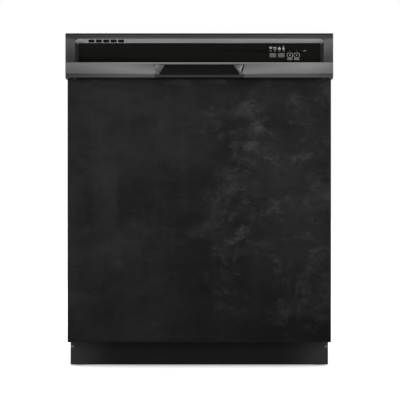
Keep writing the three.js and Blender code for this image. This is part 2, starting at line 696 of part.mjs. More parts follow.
function addFloat() {
  const top = 26;
  const dome = turned([
    [0, -14],
    [FLOAT.stem, -14],
    [FLOAT.stem, 0],
    [FLOAT.dome, 0],
    [FLOAT.dome, top - 10],
    [FLOAT.dome - 8, top - 2],
    [0, top],
  ], 16);
  part(cabinet, "overfill_float", dome, greyPlastic, [FLOAT.x, FLOAT.y, TUB_FLOOR + GAP]);
}

// ---------- Spray arms ----------
function sprayArm(reach, halfWidth, hubRadius, hubHeight, [bladeBottom, bladeTop]) {
  const blade = rounded([-reach, reach], [-halfWidth, halfWidth], halfWidth - 1);
  return join(
    alongZ(blade, [bladeBottom, bladeTop], 3),
    alongZ(circle(0, 0, hubRadius), [0, hubHeight], 8),
  );
}

function addLowerSprayArm() {
  const arm = sprayArm(LOWER_ARM_REACH, 17, 22, 19, [3, 15]);
  part(cabinet, "lower_spray_arm", arm, greyPlastic, [0, SPRAY_Y, LOWER_ARM_Z]);
}

function addUpperSprayArm() {
  const hubHeight = 14.7;
  const arm = sprayArm(UPPER_ARM_REACH, 15, 19, hubHeight, [3, 13]);
  const level = MANIFOLD_Z - FEED_RADIUS - GAP - hubHeight;
  part(upperRack, "upper_spray_arm", arm, greyPlastic, [0, SPRAY_Y, level]);

  const manifold = join(
    alongZ(circle(0, 0, 18), [-FEED_RADIUS, UPPER_RACK_FLOOR - MANIFOLD_Z - GAP], 8),
    alongY(circle(0, 0, FEED_RADIUS), [0, FEED_Y - FEED_BEND - 6 - GAP - SPRAY_Y], 6),
  );
  part(upperRack, "upper_manifold", manifold, greyPlastic, [0, SPRAY_Y, MANIFOLD_Z]);
}

// ---------- Racks ----------
// A basket of square wires: floor wires that turn up at their ends, a rim and a middle hoop.
// Each set of wires is slimmer than the set it runs into, so that no two faces lie flush.
function wireBasket(half, front, rear, floor, top, hoopZ) {
  const slim = 0.4;
  const w = WIRE / 2 - slim;
  const upright = [WIRE - slim, 2 * slim]; // inside the hoops
  const bars = [];
  for (const y of spaced(front + RACK_WIRE_INSET, rear - RACK_WIRE_INSET, 5)) {
    bars.push(block([slim - half, half - slim], [y - w, y + w], [floor, floor + WIRE]));
    for (const side of SIDES) {
      const across = upright.map((inset) => side * (half - inset));
      bars.push(block(across, [y - w + slim, y + w - slim], [floor + slim, top - slim]));
    }
  }
  for (const x of spaced(60 - half, half - 60, 5)) {
    const level = floor + WIRE / 2;
    bars.push(block([x - w, x + w], [front + slim, rear - slim], [level, level + WIRE]));
    for (const [edge, inwards] of [[front, 1], [rear, -1]]) {
      const along = upright.map((inset) => edge + inwards * inset);
      bars.push(block([x - w + slim, x + w - slim], along, [level + slim, top - slim]));
    }
  }
  for (const z of [top - WIRE, hoopZ]) {
    const hoop = block([-half, half], [front, rear], [z, z + WIRE]);
    const inside = block([WIRE - half, half - WIRE], [front + WIRE, rear - WIRE], [z - 1, z + WIRE + 1]);
    bars.push(cut(hoop, inside));
  }
  return join(bars);
}

function addUpperRack() {
  const top = UPPER_RACK_FLOOR + UPPER_RACK_HEIGHT;
  const half = UPPER_RACK_HALF;
  const hoopZ = ROLLER_Z - WIRE / 2;
  const basket = wireBasket(half, RACK_FRONT + 1, RACK_REAR, UPPER_RACK_FLOOR, top, hoopZ);
  const lugs = [];
  for (const side of SIDES) {
    for (const y of spaced(RACK_FRONT + 25, RACK_REAR - 25, 3)) {
      const across = [side * (half - 1), side * (RAIL_X - GAP)];
      lugs.push(block(across, [y - 8, y + 8], [ROLLER_Z - 6, ROLLER_Z + 6]));
    }
  }
  part(upperRack, "upper_rack", join(basket, lugs), rackCoating);

  const lip = ROLLER_RADIUS + GAP;
  const lipEnd = ROLLER_X + ROLLER_WIDTH + 1;
  for (const side of SIDES) {
    const span = [RACK_FRONT + 6, RACK_REAR - 12];
    const web = [side * RAIL_X, side * (RAIL_X + RAIL_WALL)];
    const lips = [side * RAIL_X, side * lipEnd];
    const rail = join(
      block(web, span, [ROLLER_Z - lip - RAIL_WALL, ROLLER_Z + lip + RAIL_WALL]),
      block(lips, span, [ROLLER_Z + lip, ROLLER_Z + lip + RAIL_WALL]),
      block(lips, span, [ROLLER_Z - lip - RAIL_WALL, ROLLER_Z - lip]),
    );
    part(upperRack, `${sideName(side)}_rack_rail`, rail, stainless);
  }
}

function addRackRollers() {
  const bore = circle(0, 0, SHAFT_RADIUS + GAP);
  for (const side of SIDES) {
    const wheel = cut(
      alongX(circle(0, 0, ROLLER_RADIUS), [0, side * ROLLER_WIDTH], 8),
      alongX(bore, [-side, side * (ROLLER_WIDTH + 1)], 5),
    );
    const names = [`${sideName(side)}_front_roller`, `${sideName(side)}_rear_roller`];
    names.forEach((name, i) => {
      part(cabinet, name, wheel, whitePlastic, [side * ROLLER_X, ROLLER_YS[i], ROLLER_Z]);
    });
  }
}

function addLowerRack() {
  const half = LOWER_RACK_HALF;
  const top = LOWER_RACK_FLOOR + LOWER_RACK_HEIGHT;
  const hoopZ = LOWER_RACK_FLOOR + LOWER_RACK_HEIGHT / 2;
  const basket = wireBasket(half, RACK_FRONT - 1, RACK_REAR, LOWER_RACK_FLOOR, top, hoopZ);
  const axles = [];
  for (const side of SIDES) {
    for (const y of WHEEL_YS) {
      const hanger = [side * (half - WIRE + 0.5), side * (half - 0.5)];
      axles.push(block(hanger, [y - 6, y + 6], [AXLE_Z - 6, LOWER_RACK_FLOOR + WIRE / 2]));
      const axle = [side * (half - 2), side * (WHEEL_X + WHEEL_WIDTH + 2)];
      axles.push(alongX(circle(y, AXLE_Z, AXLE_RADIUS), axle, 5));
    }
  }
  part(lowerRack, "lower_rack", join(basket, axles), rackCoating);

  for (const side of SIDES) {
    const wheel = cut(
      alongX(circle(0, 0, WHEEL_RADIUS), [0, side * WHEEL_WIDTH], 8),
      alongX(circle(0, 0, AXLE_RADIUS + GAP), [-side, side * (WHEEL_WIDTH + 1)], 5),
    );
    const names = [`${sideName(side)}_front_wheel`, `${sideName(side)}_rear_wheel`];
    names.forEach((name, i) => {
      part(lowerRack, name, wheel, greyPlastic, [side * WHEEL_X, WHEEL_YS[i], AXLE_Z]);
    });
  }
}

function addCutleryBasket() {
  const { half, depth, height, handle, wall, cells } = BASKET;
  const cell = (2 * half - wall) / cells;
  const cavities = Array.from({ length: cells }, (_, i) => {
    const left = -half + wall + i * cell;
    return block([left, left + cell - wall], [wall, depth - wall], [wall, height + 1]);
  });
  const posts = SIDES.map((side) => {
    const x = side * (half - wall - cell);
    const across = [x - wall / 2, x + wall / 2];
    return block(across, [depth / 2 - 6, depth / 2 + 6], [height - 20, height + handle]);
  });
  const grip = block(
    [wall + cell - half - wall / 2, half - wall - cell + wall / 2],
    [depth / 2 - 6, depth / 2 + 6],
    [height + handle - 8, height + handle],
  );
  const shell = cut(block([-half, half], [0, depth], [0, height]), cavities);
  const floor = LOWER_RACK_FLOOR + 1.5 * WIRE + GAP;
  part(lowerRack, "cutlery_basket", join(shell, posts, grip), greyPlastic, [0, RACK_FRONT + 11, floor]);
}

// ---------- Door ----------
function addDoorPanels() {
  const half = DOOR_HALF;
  const bottomHalf = CORD_X - HINGE_ARM - 4.5; // the lower flange stops short of the hinges
  const flangeStart = HINGE_Z + PULLEY_RADIUS + 1; // and the side lips start above them
  const shell = [
    block([-half, half], [PANEL_FRONT, PANEL_BACK], [DOOR_BOTTOM, DOOR_TOP]),
    block(
      [-bottomHalf, bottomHalf],
      [PANEL_FRONT, PANEL_BACK + 32],
      [DOOR_BOTTOM, DOOR_BOTTOM + DOOR_SHEET],
    ),
  ];
  for (const side of SIDES) {
    const edge = [side * (half - DOOR_SHEET), side * half];
    const lip = [side * (half - 9), side * half];
    shell.push(block(edge, [PANEL_FRONT, CASE_BACK], [DOOR_BOTTOM, DOOR_TOP]));
    shell.push(block(lip, [CASE_BACK - DOOR_SHEET, CASE_BACK], [flangeStart, DOOR_TOP]));
  }
  part(door, "door_outer_panel", join(shell), paintedSteel);

  const coverHalf = half - DOOR_EDGE_REVEAL;
  const cover = block(
    [-coverHalf, coverHalf],
    [DOOR_FRONT, DOOR_FRONT + DOOR_COVER],
    [DOOR_BOTTOM + DOOR_EDGE_REVEAL, DOOR_TOP],
  );
  part(door, "door_cover_sheet", cover, slateSheet);
}

// The dispenser's place on the liner, and the slot the latch strike passes through.
const DISPENSER = { left: -85, right: 75, bottom: 280, top: 450, depth: 31, wall: 3 };
const STRIKE_Z = TUB_ROOF + 4.5;

function addDoorLiner() {
  const fieldHalf = LINER_HALF - 29;
  const field = [LINER_BOTTOM + 42, LINER_TOP - 53];
  const step = LINER_THICKNESS;
  const plane = [DOOR_REAR - step, DOOR_REAR];
  const returnEdge = DOOR_REAR - 17;
  const outline = rounded([-LINER_HALF, LINER_HALF], [LINER_BOTTOM, LINER_TOP], 6);
  const across = [step - LINER_HALF, LINER_HALF - step];
  const within = rounded(across, [LINER_BOTTOM + step, LINER_TOP - step], 4);
  const pan = rounded([-fieldHalf - step, fieldHalf + step], [field[0] - step, field[1] + step], 22);
  const panInside = rounded([-fieldHalf, fieldHalf], field, 20);
  const liner = cut(
    join(
      alongY(outline, plane),
      cut(alongY(outline, [returnEdge, DOOR_REAR - 1]), alongY(within, [returnEdge - 1, plane[0]])),
      alongY(pan, [FIELD_BACK - step, DOOR_REAR - 1]),
    ),
    alongY(panInside, [FIELD_BACK, DOOR_REAR + 1]),
    block(
      [DISPENSER.left, DISPENSER.right],
      [FIELD_BACK - 5, FIELD_BACK + 5],
      [DISPENSER.bottom, DISPENSER.top],
    ),
    block([-14, 14], [plane[0] - 1, DOOR_REAR + 1], [STRIKE_Z - 2, STRIKE_Z + 5]),
  );
  part(door, "door_inner_liner", liner, stainless);
}

function pocketMouth() {
  const top = BAND_TOP - POCKET_MARGIN;
  const bottom = BAND_BOTTOM + POCKET_SILL;
  const cornerX = 5;
  const cornerZ = 4;
  const shape = new THREE.Shape();
  shape.moveTo(POCKET_HALF_TOP, top);
  shape.lineTo(-POCKET_HALF_TOP, top);
  shape.lineTo(-POCKET_HALF_BOTTOM - 1.2, bottom + cornerZ);
  shape.quadraticCurveTo(-POCKET_HALF_BOTTOM, bottom, cornerX - POCKET_HALF_BOTTOM, bottom);
  shape.lineTo(POCKET_HALF_BOTTOM - cornerX, bottom);
  shape.quadraticCurveTo(POCKET_HALF_BOTTOM, bottom, POCKET_HALF_BOTTOM + 1.2, bottom + cornerZ);
  shape.closePath();
  return shape;
}

function addHandleBand() {
  const axisY = FRONT + BAND_RADIUS;
  const axisZ = BAND_BOTTOM + BAND_RADIUS;
  const inner = BAND_RADIUS - BAND_WALL;
  const wallBack = DOOR_REAR - 19;
  const profile = new THREE.Shape();
  profile.moveTo(HOUSING_INSIDE + 3.7, BAND_TOP);
  profile.lineTo(FRONT, BAND_TOP);
  profile.lineTo(FRONT, axisZ);
  profile.absarc(axisY, axisZ, BAND_RADIUS, Math.PI, 3 * QUARTER, false);
  profile.lineTo(wallBack, BAND_BOTTOM);
  profile.lineTo(wallBack, BAND_BOTTOM + BAND_WALL);
  profile.lineTo(axisY, BAND_BOTTOM + BAND_WALL);
  profile.absarc(axisY, axisZ, inner, 3 * QUARTER, Math.PI, true);
  profile.lineTo(FRONT + BAND_WALL, BAND_TOP - BAND_WALL);
  profile.lineTo(HOUSING_INSIDE + 3.7, BAND_TOP - BAND_WALL);
  profile.closePath();
  const end = new THREE.Shape();
  end.moveTo(CASE_BACK, BAND_TOP);
  end.lineTo(FRONT, BAND_TOP);
  end.lineTo(FRONT, axisZ);
  end.absarc(axisY, axisZ, BAND_RADIUS, Math.PI, 3 * QUARTER, false);
  end.lineTo(CASE_BACK, BAND_BOTTOM);
  end.closePath();
  const caps = SIDES.map((side) =>
    alongX(end, [side * HALF, side * (HALF - BAND_WALL)], FINE_STEPS),
  );
  const opening = alongY(pocketMouth(), [FRONT - 1, FRONT + BAND_RADIUS]);
  const band = cut(join(alongX(profile, [-HALF, HALF], FINE_STEPS), caps), opening);
  part(door, "handle_band", band, blackSteel);

  // The pocket is a moulded box behind the opening, narrower at its back.
  const half = POCKET_HALF_TOP + 3;
  const front = FRONT + BAND_WALL + GAP;
  const back = front + POCKET_DEPTH + POCKET_WALL;
  const top = BAND_TOP - BAND_WALL - GAP;
  const bottom = BAND_BOTTOM + BAND_WALL + GAP;
  const body = new THREE.Shape();
  body.moveTo(back, top);
  body.lineTo(front, top);
  body.lineTo(front, axisZ);
  body.absarc(axisY, axisZ, inner - GAP, Math.PI, 3 * QUARTER, false);
  body.lineTo(back, bottom);
  body.closePath();
  const mouthTop = BAND_TOP - POCKET_MARGIN;
  const mouthBottom = BAND_BOTTOM + POCKET_SILL;
  const cavityFront = front - 5;
  const cavityBack = back - POCKET_WALL;
  const cavity = extruded(pocketMouth(), cavityBack - cavityFront, 3);
  const corners = cavity.getAttribute("position");
  for (let i = 0; i < corners.count; i += 1) {
    const z = corners.getY(i);
    const rise = (z - mouthBottom) / (mouthTop - mouthBottom);
    const frontHalf = THREE.MathUtils.lerp(POCKET_HALF_BOTTOM, POCKET_HALF_TOP, rise);
    const backHalf = THREE.MathUtils.lerp(POCKET_BACK_HALF_BOTTOM, POCKET_BACK_HALF_TOP, rise);
    const atBack = corners.getZ(i) < 1;
    corners.setXYZ(
      i,
      corners.getX(i) * (atBack ? backHalf / frontHalf : 1),
      atBack ? cavityBack : cavityFront,
      z,
    );
  }
  part(door, "handle_pocket", cut(alongX(body, [-half, half], FINE_STEPS), solidOf(cavity)), blackPlastic);
}

// Moves a point of a rounded corner out towards the square corner.
function squared(place, limit, radius) {
  const start = limit - radius;
  return place > start ? start + Math.min((place - start) * Math.SQRT2, radius) : place;
}

function addConsoleHousing() {
  const axisY = HOUSING_FRONT + HOUSING_RADIUS;
  const axisZ = HEIGHT - HOUSING_RADIUS;
  const profile = new THREE.Shape();
  profile.moveTo(HOUSING_FRONT, HOUSING_BOTTOM);
  profile.lineTo(CASE_BACK, HOUSING_BOTTOM);
  profile.lineTo(CASE_BACK, HEIGHT);
  profile.lineTo(axisY, HEIGHT);
  profile.absarc(axisY, axisZ, HOUSING_RADIUS, QUARTER, Math.PI, false);
  profile.closePath();
  const inside = block(
    [HOUSING_WALL - HALF, HALF - HOUSING_WALL],
    [HOUSING_INSIDE, CASE_BACK + 1],
    [HOUSING_BOTTOM - 1, HEIGHT - HOUSING_WALL],
  );

  // The display recess narrows towards the panel, and its upper wall slopes down.
  const floor = HOUSING_BOTTOM - 20;
  const mouth = rounded([-RECESS_HALF, RECESS_HALF], [floor, RECESS_CEILING], RECESS_RADIUS);
  const recess = extruded(mouth, HOUSING_FRONT_WALL + 2, FINE_STEPS);
  const corners = recess.getAttribute("position");
  for (let i = 0; i < corners.count; i += 1) {
    const x = corners.getX(i);
    const z = corners.getY(i);
    if (corners.getZ(i) < 1) {
      const backX = Math.sign(x) * squared(Math.abs(x), RECESS_HALF, RECESS_RADIUS);
      const backZ = squared(z, RECESS_CEILING, RECESS_RADIUS);
      const lowered = (RECESS_CEILING - RECESS_SLOPE - floor) / (RECESS_CEILING - floor);
      const narrowed = (RECESS_HALF - RECESS_TAPER) / RECESS_HALF;
      corners.setXYZ(i, backX * narrowed, HOUSING_INSIDE + 0.2, floor + (backZ - floor) * lowered);
    } else {
      corners.setXYZ(i, x, HOUSING_FRONT - 0.2, z);
    }
  }
  const vents = Array.from({ length: VENT.count }, (_, i) => {
    const x = VENT.fromEnd - RECESS_HALF + i * VENT.pitch;
    const slot = rounded(
      [x - VENT.width / 2, x + VENT.width / 2],
      [HEIGHT - VENT.drop - VENT.height / 2, HEIGHT - VENT.drop + VENT.height / 2],
      1.5,
    );
    return alongY(slot, [HOUSING_FRONT + 2, HOUSING_INSIDE + 1], 1);
  });
  const housing = cut(alongX(profile, [-HALF, HALF], FINE_STEPS), inside, solidOf(recess), vents);
  part(door, "console_frame", housing, blackSteel);
}

function addControlPanel() {
  const half = RECESS_HALF - RECESS_TAPER + CONTROL_PANEL_LAP;
  const front = HOUSING_INSIDE + GAP;
  const back = front + CONTROL_PANEL_THICKNESS;
  const top = RECESS_CEILING - RECESS_SLOPE + 1;
  const keyZ = BAND_TOP + KEY_RISE;
  const keyShape = ({ fromEnd, width, height, radius }, grow, growUp = grow) => {
    const x = RECESS_HALF - fromEnd;
    return rounded(
      [x - width / 2 - grow, x + width / 2 + grow],
      [keyZ - height / 2 - growUp, keyZ + height / 2 + growUp],
      radius + grow,
    );
  };
  const holes = KEYS.map((key) => alongY(keyShape(key, GAP), [front - 1, back + 1], 2));
  const panel = block([-half, half], [front, back], [HOUSING_BOTTOM + GAP, top]);
  part(door, "control_panel", cut(panel, holes), glossBlack);

  for (const key of KEYS) {
    const face = front - KEY_TRAVEL_SPACE;
    const cap = alongY(keyShape(key, 0), [face, face + KEY_DEPTH], 2);
    const flange = alongY(keyShape(key, 0, KEY_LAP), [back + GAP, back + GAP + KEY_FLANGE], 2);
    part(door, key.name, join(cap, flange), key.radius > 2 ? glossBlack : keyGrey);
  }
}

function addHinges() {
  const sector = new THREE.Shape();
  const radius = PULLEY_RADIUS - CORD_RADIUS - GAP;
  sector.moveTo(HINGE_Y - 10, HINGE_Z - 10);
  sector.lineTo(HINGE_Y + radius, HINGE_Z - 10);
  sector.lineTo(HINGE_Y + radius, HINGE_Z);
  sector.absarc(HINGE_Y, HINGE_Z, radius, 0, QUARTER, false);
  sector.lineTo(HINGE_Y - 10, HINGE_Z + radius);
  sector.closePath();
  const stripBack = HINGE_Y - 2;
  const stripFront = PANEL_BACK + 4;
  for (const side of SIDES) {
    const across = [side * (CORD_X - HINGE_ARM / 2), side * (CORD_X + HINGE_ARM / 2)];
    const strip = block(across, [stripFront, stripBack], [HINGE_Z, HINGE_Z + HINGE_ARM_LENGTH]);
    const bore = alongX(
      circle(HINGE_Y, HINGE_Z, HINGE_PIN_RADIUS + GAP),
      [side * (CORD_X - 5), side * (CORD_X + 5)],
      6,
    );
    const arm = cut(join(alongX(sector, across, 4), strip), bore);
    part(door, `${sideName(side)}_hinge_arm`, arm, zincSteel);

    const cord = alongY(circle(0, 0, CORD_RADIUS), [0, CORD_LENGTH], 4);
    const cordAt = [side * CORD_X, HINGE_Y, CORD_Z];
    part(cabinet, `${sideName(side)}_spring_cord`, cord, blackPlastic, cordAt);
    const spring = alongY(circle(0, 0, SPRING_RADIUS), [0, SPRING_LENGTH], 5);
    const springAt = [side * CORD_X, SPRING_Y, CORD_Z];
    part(cabinet, `${sideName(side)}_door_spring`, spring, zincSteel, springAt);
  }
}

// ---------- Latch ----------
function addLatch() {
  const tip = DOOR_REAR - 19;
  const window = [DOOR_REAR - 15, DOOR_REAR - 7];
  const sheet = 2;
  const back = TUB_FRONT + GAP;
  const tongue = cut(
    block([-10, 10], [tip, back + 6], [STRIKE_Z, STRIKE_Z + 2.5]),
    block([-5, 5], window, [STRIKE_Z - 1, STRIKE_Z + 4]),
  );
  const foot = block([-10, 10], [back, back + sheet], [TUB_ROOF + GAP, STRIKE_Z + 1]);
  part(cabinet, "latch_strike", join(tongue, foot), stainless);

  const nose = new THREE.Shape();
  nose.moveTo(-4, -3);
  nose.lineTo(24, -3);
  nose.lineTo(24, -7.8);
  nose.lineTo(27.5, -7.8);
  nose.lineTo(27.5, 3);
  nose.lineTo(-4, 3);
  nose.closePath();
  const hook = alongX(nose, [-4, 4]);
  part(door, "latch_hook", hook, stainless, [0, DOOR_REAR - 35, STRIKE_Z + 12]);
}

// ---------- Detergent and rinse-aid dispenser ----------
function addDispenser() {
  const { left, right, bottom, top, depth, wall } = DISPENSER;
  const face = CASE_BACK;
  const cupRight = left + 77;
  const cup = block(
    [left + 7, cupRight],
    [face - depth + 7, face + 1],
    [bottom + 82, top - 12],
  );
  const rinse = { x: right - 35, z: top - 40, radius: 16 };
  const well = alongY(circle(rinse.x, rinse.z, rinse.radius - 4), [face - 12, face + 1], 8);
  const body = block([left + GAP, right - GAP], [face - depth, face], [bottom + GAP, top - GAP]);
  part(door, "dispenser_body", cut(body, cup, well), greyPlastic);

  const cover = join(
    block([left + 3, cupRight + 4], [0, wall], [bottom + 78, top - 8]),
    block([left + 30, cupRight - 23], [wall - 1, wall + 0.7], [bottom + 84, bottom + 96]),
  );
  part(door, "dispenser_cover", cover, whitePlastic, [0, face + GAP, 0]);

  const cap = join(
    alongY(circle(0, 0, rinse.radius), [0, 2.5], 9),
    alongY(circle(0, 0, rinse.radius - 4 - GAP), [-8, 1], 8),
    block([-11, 11], [2, 4], [-2.5, 2.5]),
  );
  part(door, "rinse_aid_cap", cap, greyPlastic, [rinse.x, face + GAP, rinse.z]);
}

addTub();
addSeal();
addBlanket();
addFrame();
addLegs();
addToePanel();
addCounterBrackets();
addSump();
addHeater();
addFeedTube();
addInletValve();
addFloat();
addLowerSprayArm();
addUpperSprayArm();
addUpperRack();
addRackRollers();
addLowerRack();
addCutleryBasket();
addDoorPanels();
addDoorLiner();
addHandleBand();
addConsoleHousing();
addControlPanel();
addHinges();
addLatch();
addDispenser();

export default dishwasher;
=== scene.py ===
"""Finished looks of a built-in dishwasher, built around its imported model.

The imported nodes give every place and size. This file rebuilds each visible part at full
detail, rides it on its body, and gives it a procedural finish. Modelling is in millimetres
and each piece is scaled to metres when it is made.
"""

import json
import math

import bmesh
import bpy
from mathutils import Matrix, Vector, noise


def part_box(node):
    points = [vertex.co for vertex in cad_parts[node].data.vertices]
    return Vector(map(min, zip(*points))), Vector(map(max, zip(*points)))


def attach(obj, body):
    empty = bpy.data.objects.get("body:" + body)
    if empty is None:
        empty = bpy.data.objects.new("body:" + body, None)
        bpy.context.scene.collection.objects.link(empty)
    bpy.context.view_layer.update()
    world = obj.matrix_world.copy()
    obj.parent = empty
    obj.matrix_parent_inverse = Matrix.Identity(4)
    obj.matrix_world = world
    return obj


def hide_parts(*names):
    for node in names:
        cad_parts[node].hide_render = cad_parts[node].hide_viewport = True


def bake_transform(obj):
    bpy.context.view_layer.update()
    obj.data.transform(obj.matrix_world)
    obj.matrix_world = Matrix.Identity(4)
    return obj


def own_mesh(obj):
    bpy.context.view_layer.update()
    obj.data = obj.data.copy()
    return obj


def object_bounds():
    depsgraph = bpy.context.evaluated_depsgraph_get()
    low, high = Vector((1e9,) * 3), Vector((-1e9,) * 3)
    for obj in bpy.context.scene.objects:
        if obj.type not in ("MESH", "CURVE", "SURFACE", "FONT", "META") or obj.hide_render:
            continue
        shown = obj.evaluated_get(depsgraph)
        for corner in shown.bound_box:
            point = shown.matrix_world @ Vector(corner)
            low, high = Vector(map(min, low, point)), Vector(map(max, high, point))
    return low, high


bl_info = {
    "name": "Built-in Dishwasher Finish",
    "version": (1, 0, 0),
    "blender": (4, 5, 0),
    "location": "View3D > Sidebar > Dishwasher",
    "description": "Builds the finished parts of a built-in dishwasher around its packed model",
    "category": "Object",
}

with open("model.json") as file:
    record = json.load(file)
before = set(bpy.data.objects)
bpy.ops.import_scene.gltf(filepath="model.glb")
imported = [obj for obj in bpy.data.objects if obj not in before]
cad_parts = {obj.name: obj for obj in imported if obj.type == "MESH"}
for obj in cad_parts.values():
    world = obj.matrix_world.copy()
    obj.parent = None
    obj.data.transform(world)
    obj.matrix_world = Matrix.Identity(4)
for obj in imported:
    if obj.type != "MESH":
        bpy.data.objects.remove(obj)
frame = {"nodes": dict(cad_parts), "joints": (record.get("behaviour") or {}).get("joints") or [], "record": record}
CAD_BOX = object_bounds()

MM = 0.001
TURN = 2 * math.pi
QUARTER = math.pi / 2
SHARP_ANGLE = math.radians(30)  # edges that turn by more than this are rounded
UP = Vector((0, 0, 1))
SIDES = (("left", -1), ("right", 1))
CORNERS = [(f"{side}_{end}", way) for side, way in SIDES for end in ("front", "rear")]

RECORD = frame["record"]
BODY_OF = {node: body for body, nodes in RECORD["behaviour"]["bodies"].items() for node in nodes}
SLOT_OF = {row["node"]: row["material_slot"] for row in RECORD["subparts"]}
JOINT_AT = {j["name"]: Vector(j["pos_m"]) / MM for j in frame["joints"] if "pos_m" in j}


# ---------- Sizes and colours that a user would change ----------
def length(name, description, default):
    """A length property; its default is given in millimetres."""
    return bpy.props.FloatProperty(
        name=name, description=description, default=default * MM, min=0.0, unit="LENGTH"
    )


def colour(name, description, default):
    """A colour property in linear values."""
    return bpy.props.FloatVectorProperty(
        name=name, description=description, default=default, size=3, min=0.0, max=1.0, subtype="COLOR"
    )


class DishwasherSizes(bpy.types.PropertyGroup):
    """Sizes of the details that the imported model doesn't hold."""

    edge_round: length("Edge Round", "Radius on the edges of moulded and pressed parts", 0.6)
    sheet_round: length("Sheet Round", "Radius on the edges of thin sheet steel", 0.25)
    rack_wire: length("Rack Wire", "Diameter of the racks' floor and side wires", 3.2)
    rack_rim: length("Rack Rim", "Diameter of the racks' rim wire", 4.0)
    tine_height: length("Tine Height", "Height of the plate tines in the lower rack", 62.0)
    quilt_pitch: length("Quilt Pitch", "Distance between the blanket's stitched lines", 96.0)
    quilt_depth: length("Quilt Depth", "How far the stitches draw the blanket in", 3.2)
    thread_pitch: length("Thread Pitch", "Pitch of the levelling legs' thread", 2.5)
    spring_wire: length("Spring Wire", "Diameter of the balance springs' wire", 1.8)
    lattice_cell: length("Lattice Cell", "Mesh of the cutlery basket's lattice", 11.0)
    screw_head: length("Screw Head", "Diameter of a pan-head screw", 7.0)
    camera_distance: length("Camera Distance", "Camera to the front of the handle band", 4000.0)


class DishwasherColours(bpy.types.PropertyGroup):
    """Base colours of the finishes."""

    console: colour("Console", "Dark brushed steel of the housing and handle band", (0.55, 0.55, 0.548))
    # the same pale satin is given to the handle pocket's cheeks as a painted highlight
    ledge: colour("Ledge", "Satin upper wall of the display recess", (0.245, 0.245, 0.24))
    # painted shade: this dark satin stands in for the shade on the recess side walls of the housing
    wall: colour("Recess Wall", "Dark satin side walls of the display recess", (0.017, 0.017, 0.0165))
    slate: colour("Slate Sheet", "Mottled finish of the door's sheet", (0.0112, 0.0112, 0.0112))
    case: colour("Door Case", "Painted steel of the door's case", (0.006, 0.006, 0.006))
    toe: colour("Toe Panel", "Satin paint of the toe panel", (0.008, 0.008, 0.008))
    gloss: colour("Display", "Gloss black of the control panel", (0.0042, 0.0042, 0.0036))
    key: colour("Keys", "Light grey of the two long keys", (0.09, 0.088, 0.086))
    print_white: colour("Print", "Printed marks on the control panel", (0.27, 0.27, 0.255))
    stainless: colour("Stainless", "Bright brushed steel of the tub and liner", (0.62, 0.63, 0.64))
    zinc: colour("Zinc", "Zinc-plated steel of the frame", (0.5, 0.52, 0.54))
    nickel: colour("Heater", "Dull nickel alloy of the heating element", (0.16, 0.16, 0.165))
    black: colour("Black Moulding", "Black moulded plastic", (0.014, 0.014, 0.0145))
    grey: colour("Grey Moulding", "Grey moulded plastic of the water works", (0.22, 0.24, 0.26))
    white: colour("White Moulding", "Off-white moulded plastic", (0.62, 0.62, 0.6))
    coating: colour("Rack Coating", "Nylon coating of the racks", (0.3, 0.32, 0.345))
    rubber: colour("Seal Rubber", "Rubber of the door seal", (0.014, 0.014, 0.015))
    felt: colour("Felt", "Bitumen-backed felt of the blanket", (0.035, 0.035, 0.038))


# ---------- Shader nodes ----------
class Value:
    """A node's output, whose arithmetic adds Math nodes."""

    def __init__(self, bench, socket):
        self.bench = bench
        self.socket = socket

    def math(self, operation, *others):
        inputs = dict(enumerate([self, *others]))
        return self.bench.node("Math", {"operation": operation}, inputs)

    def __add__(self, other):
        return self.math("ADD", other)

    __radd__ = __add__

    def __mul__(self, other):
        return self.math("MULTIPLY", other)

    __rmul__ = __mul__

    def __sub__(self, other):
        return self.math("SUBTRACT", other)

    def __rsub__(self, other):
        return self.bench.node("Math", {"operation": "SUBTRACT"}, {0: other, 1: self})

    def __abs__(self):
        return self.math("ABSOLUTE")

    def between(self, low, high):
        """0 at low or less, 1 at high or more, and smooth from one to the other."""
        settings = {"interpolation_type": "SMOOTHSTEP"}
        return self.bench.node("MapRange", settings, {"Value": self, "From Min": low, "From Max": high})


class Bench:
    """A node tree and the few ways in which nodes are added to it."""

    def __init__(self, tree):
        self.tree = tree

    def node(self, kind, settings=None, inputs=None, output=0):
        """Adds a node: its settings are set first, then its sockets' values or links."""
        made = self.tree.nodes.new("ShaderNode" + kind)
        for key, value in (settings or {}).items():
            setattr(made, key, value)
        for key, value in (inputs or {}).items():
            self.feed(made.inputs[key], value)
        return Value(self, made.outputs[output])

    def feed(self, socket, value):
        if isinstance(value, Value):
            self.tree.links.new(value.socket, socket)
        else:
            socket.default_value = value

    def place(self, stretch=(1, 1, 1), turn=(0, 0, 0), shift=(0, 0, 0)):
        """Object coordinates through a Mapping node."""
        coordinates = self.node("TexCoord", output="Object")
        return self.node(
            "Mapping", inputs={"Vector": coordinates, "Scale": stretch, "Rotation": turn, "Location": shift}
        )

    def axis(self, index):
        return self.node("SeparateXYZ", inputs={0: self.node("TexCoord", output="Object")}, output=index)

    def noise(self, scale, detail=3.0, roughness=0.5, distortion=0.0, **place):
        inputs = {"Vector": self.place(**place), "Scale": scale, "Detail": detail}
        inputs.update({"Roughness": roughness, "Distortion": distortion})
        return self.node("TexNoise", inputs=inputs)

    def tint(self, factor, first, second):
        """One colour at factor 0 and the other at 1."""
        inputs = {0: factor, 6: rgba(first), 7: rgba(second)}
        return self.node("Mix", {"data_type": "RGBA"}, inputs, output=2)

    def bump(self, height, strength, distance=0.0005):
        return self.node("Bump", inputs={"Height": height, "Strength": strength, "Distance": distance})


def rgba(shade):
    return shade if isinstance(shade, Value) else (*shade, 1.0)


def scaled(shade, factor):
    return tuple(min(1.0, channel * factor) for channel in shade)


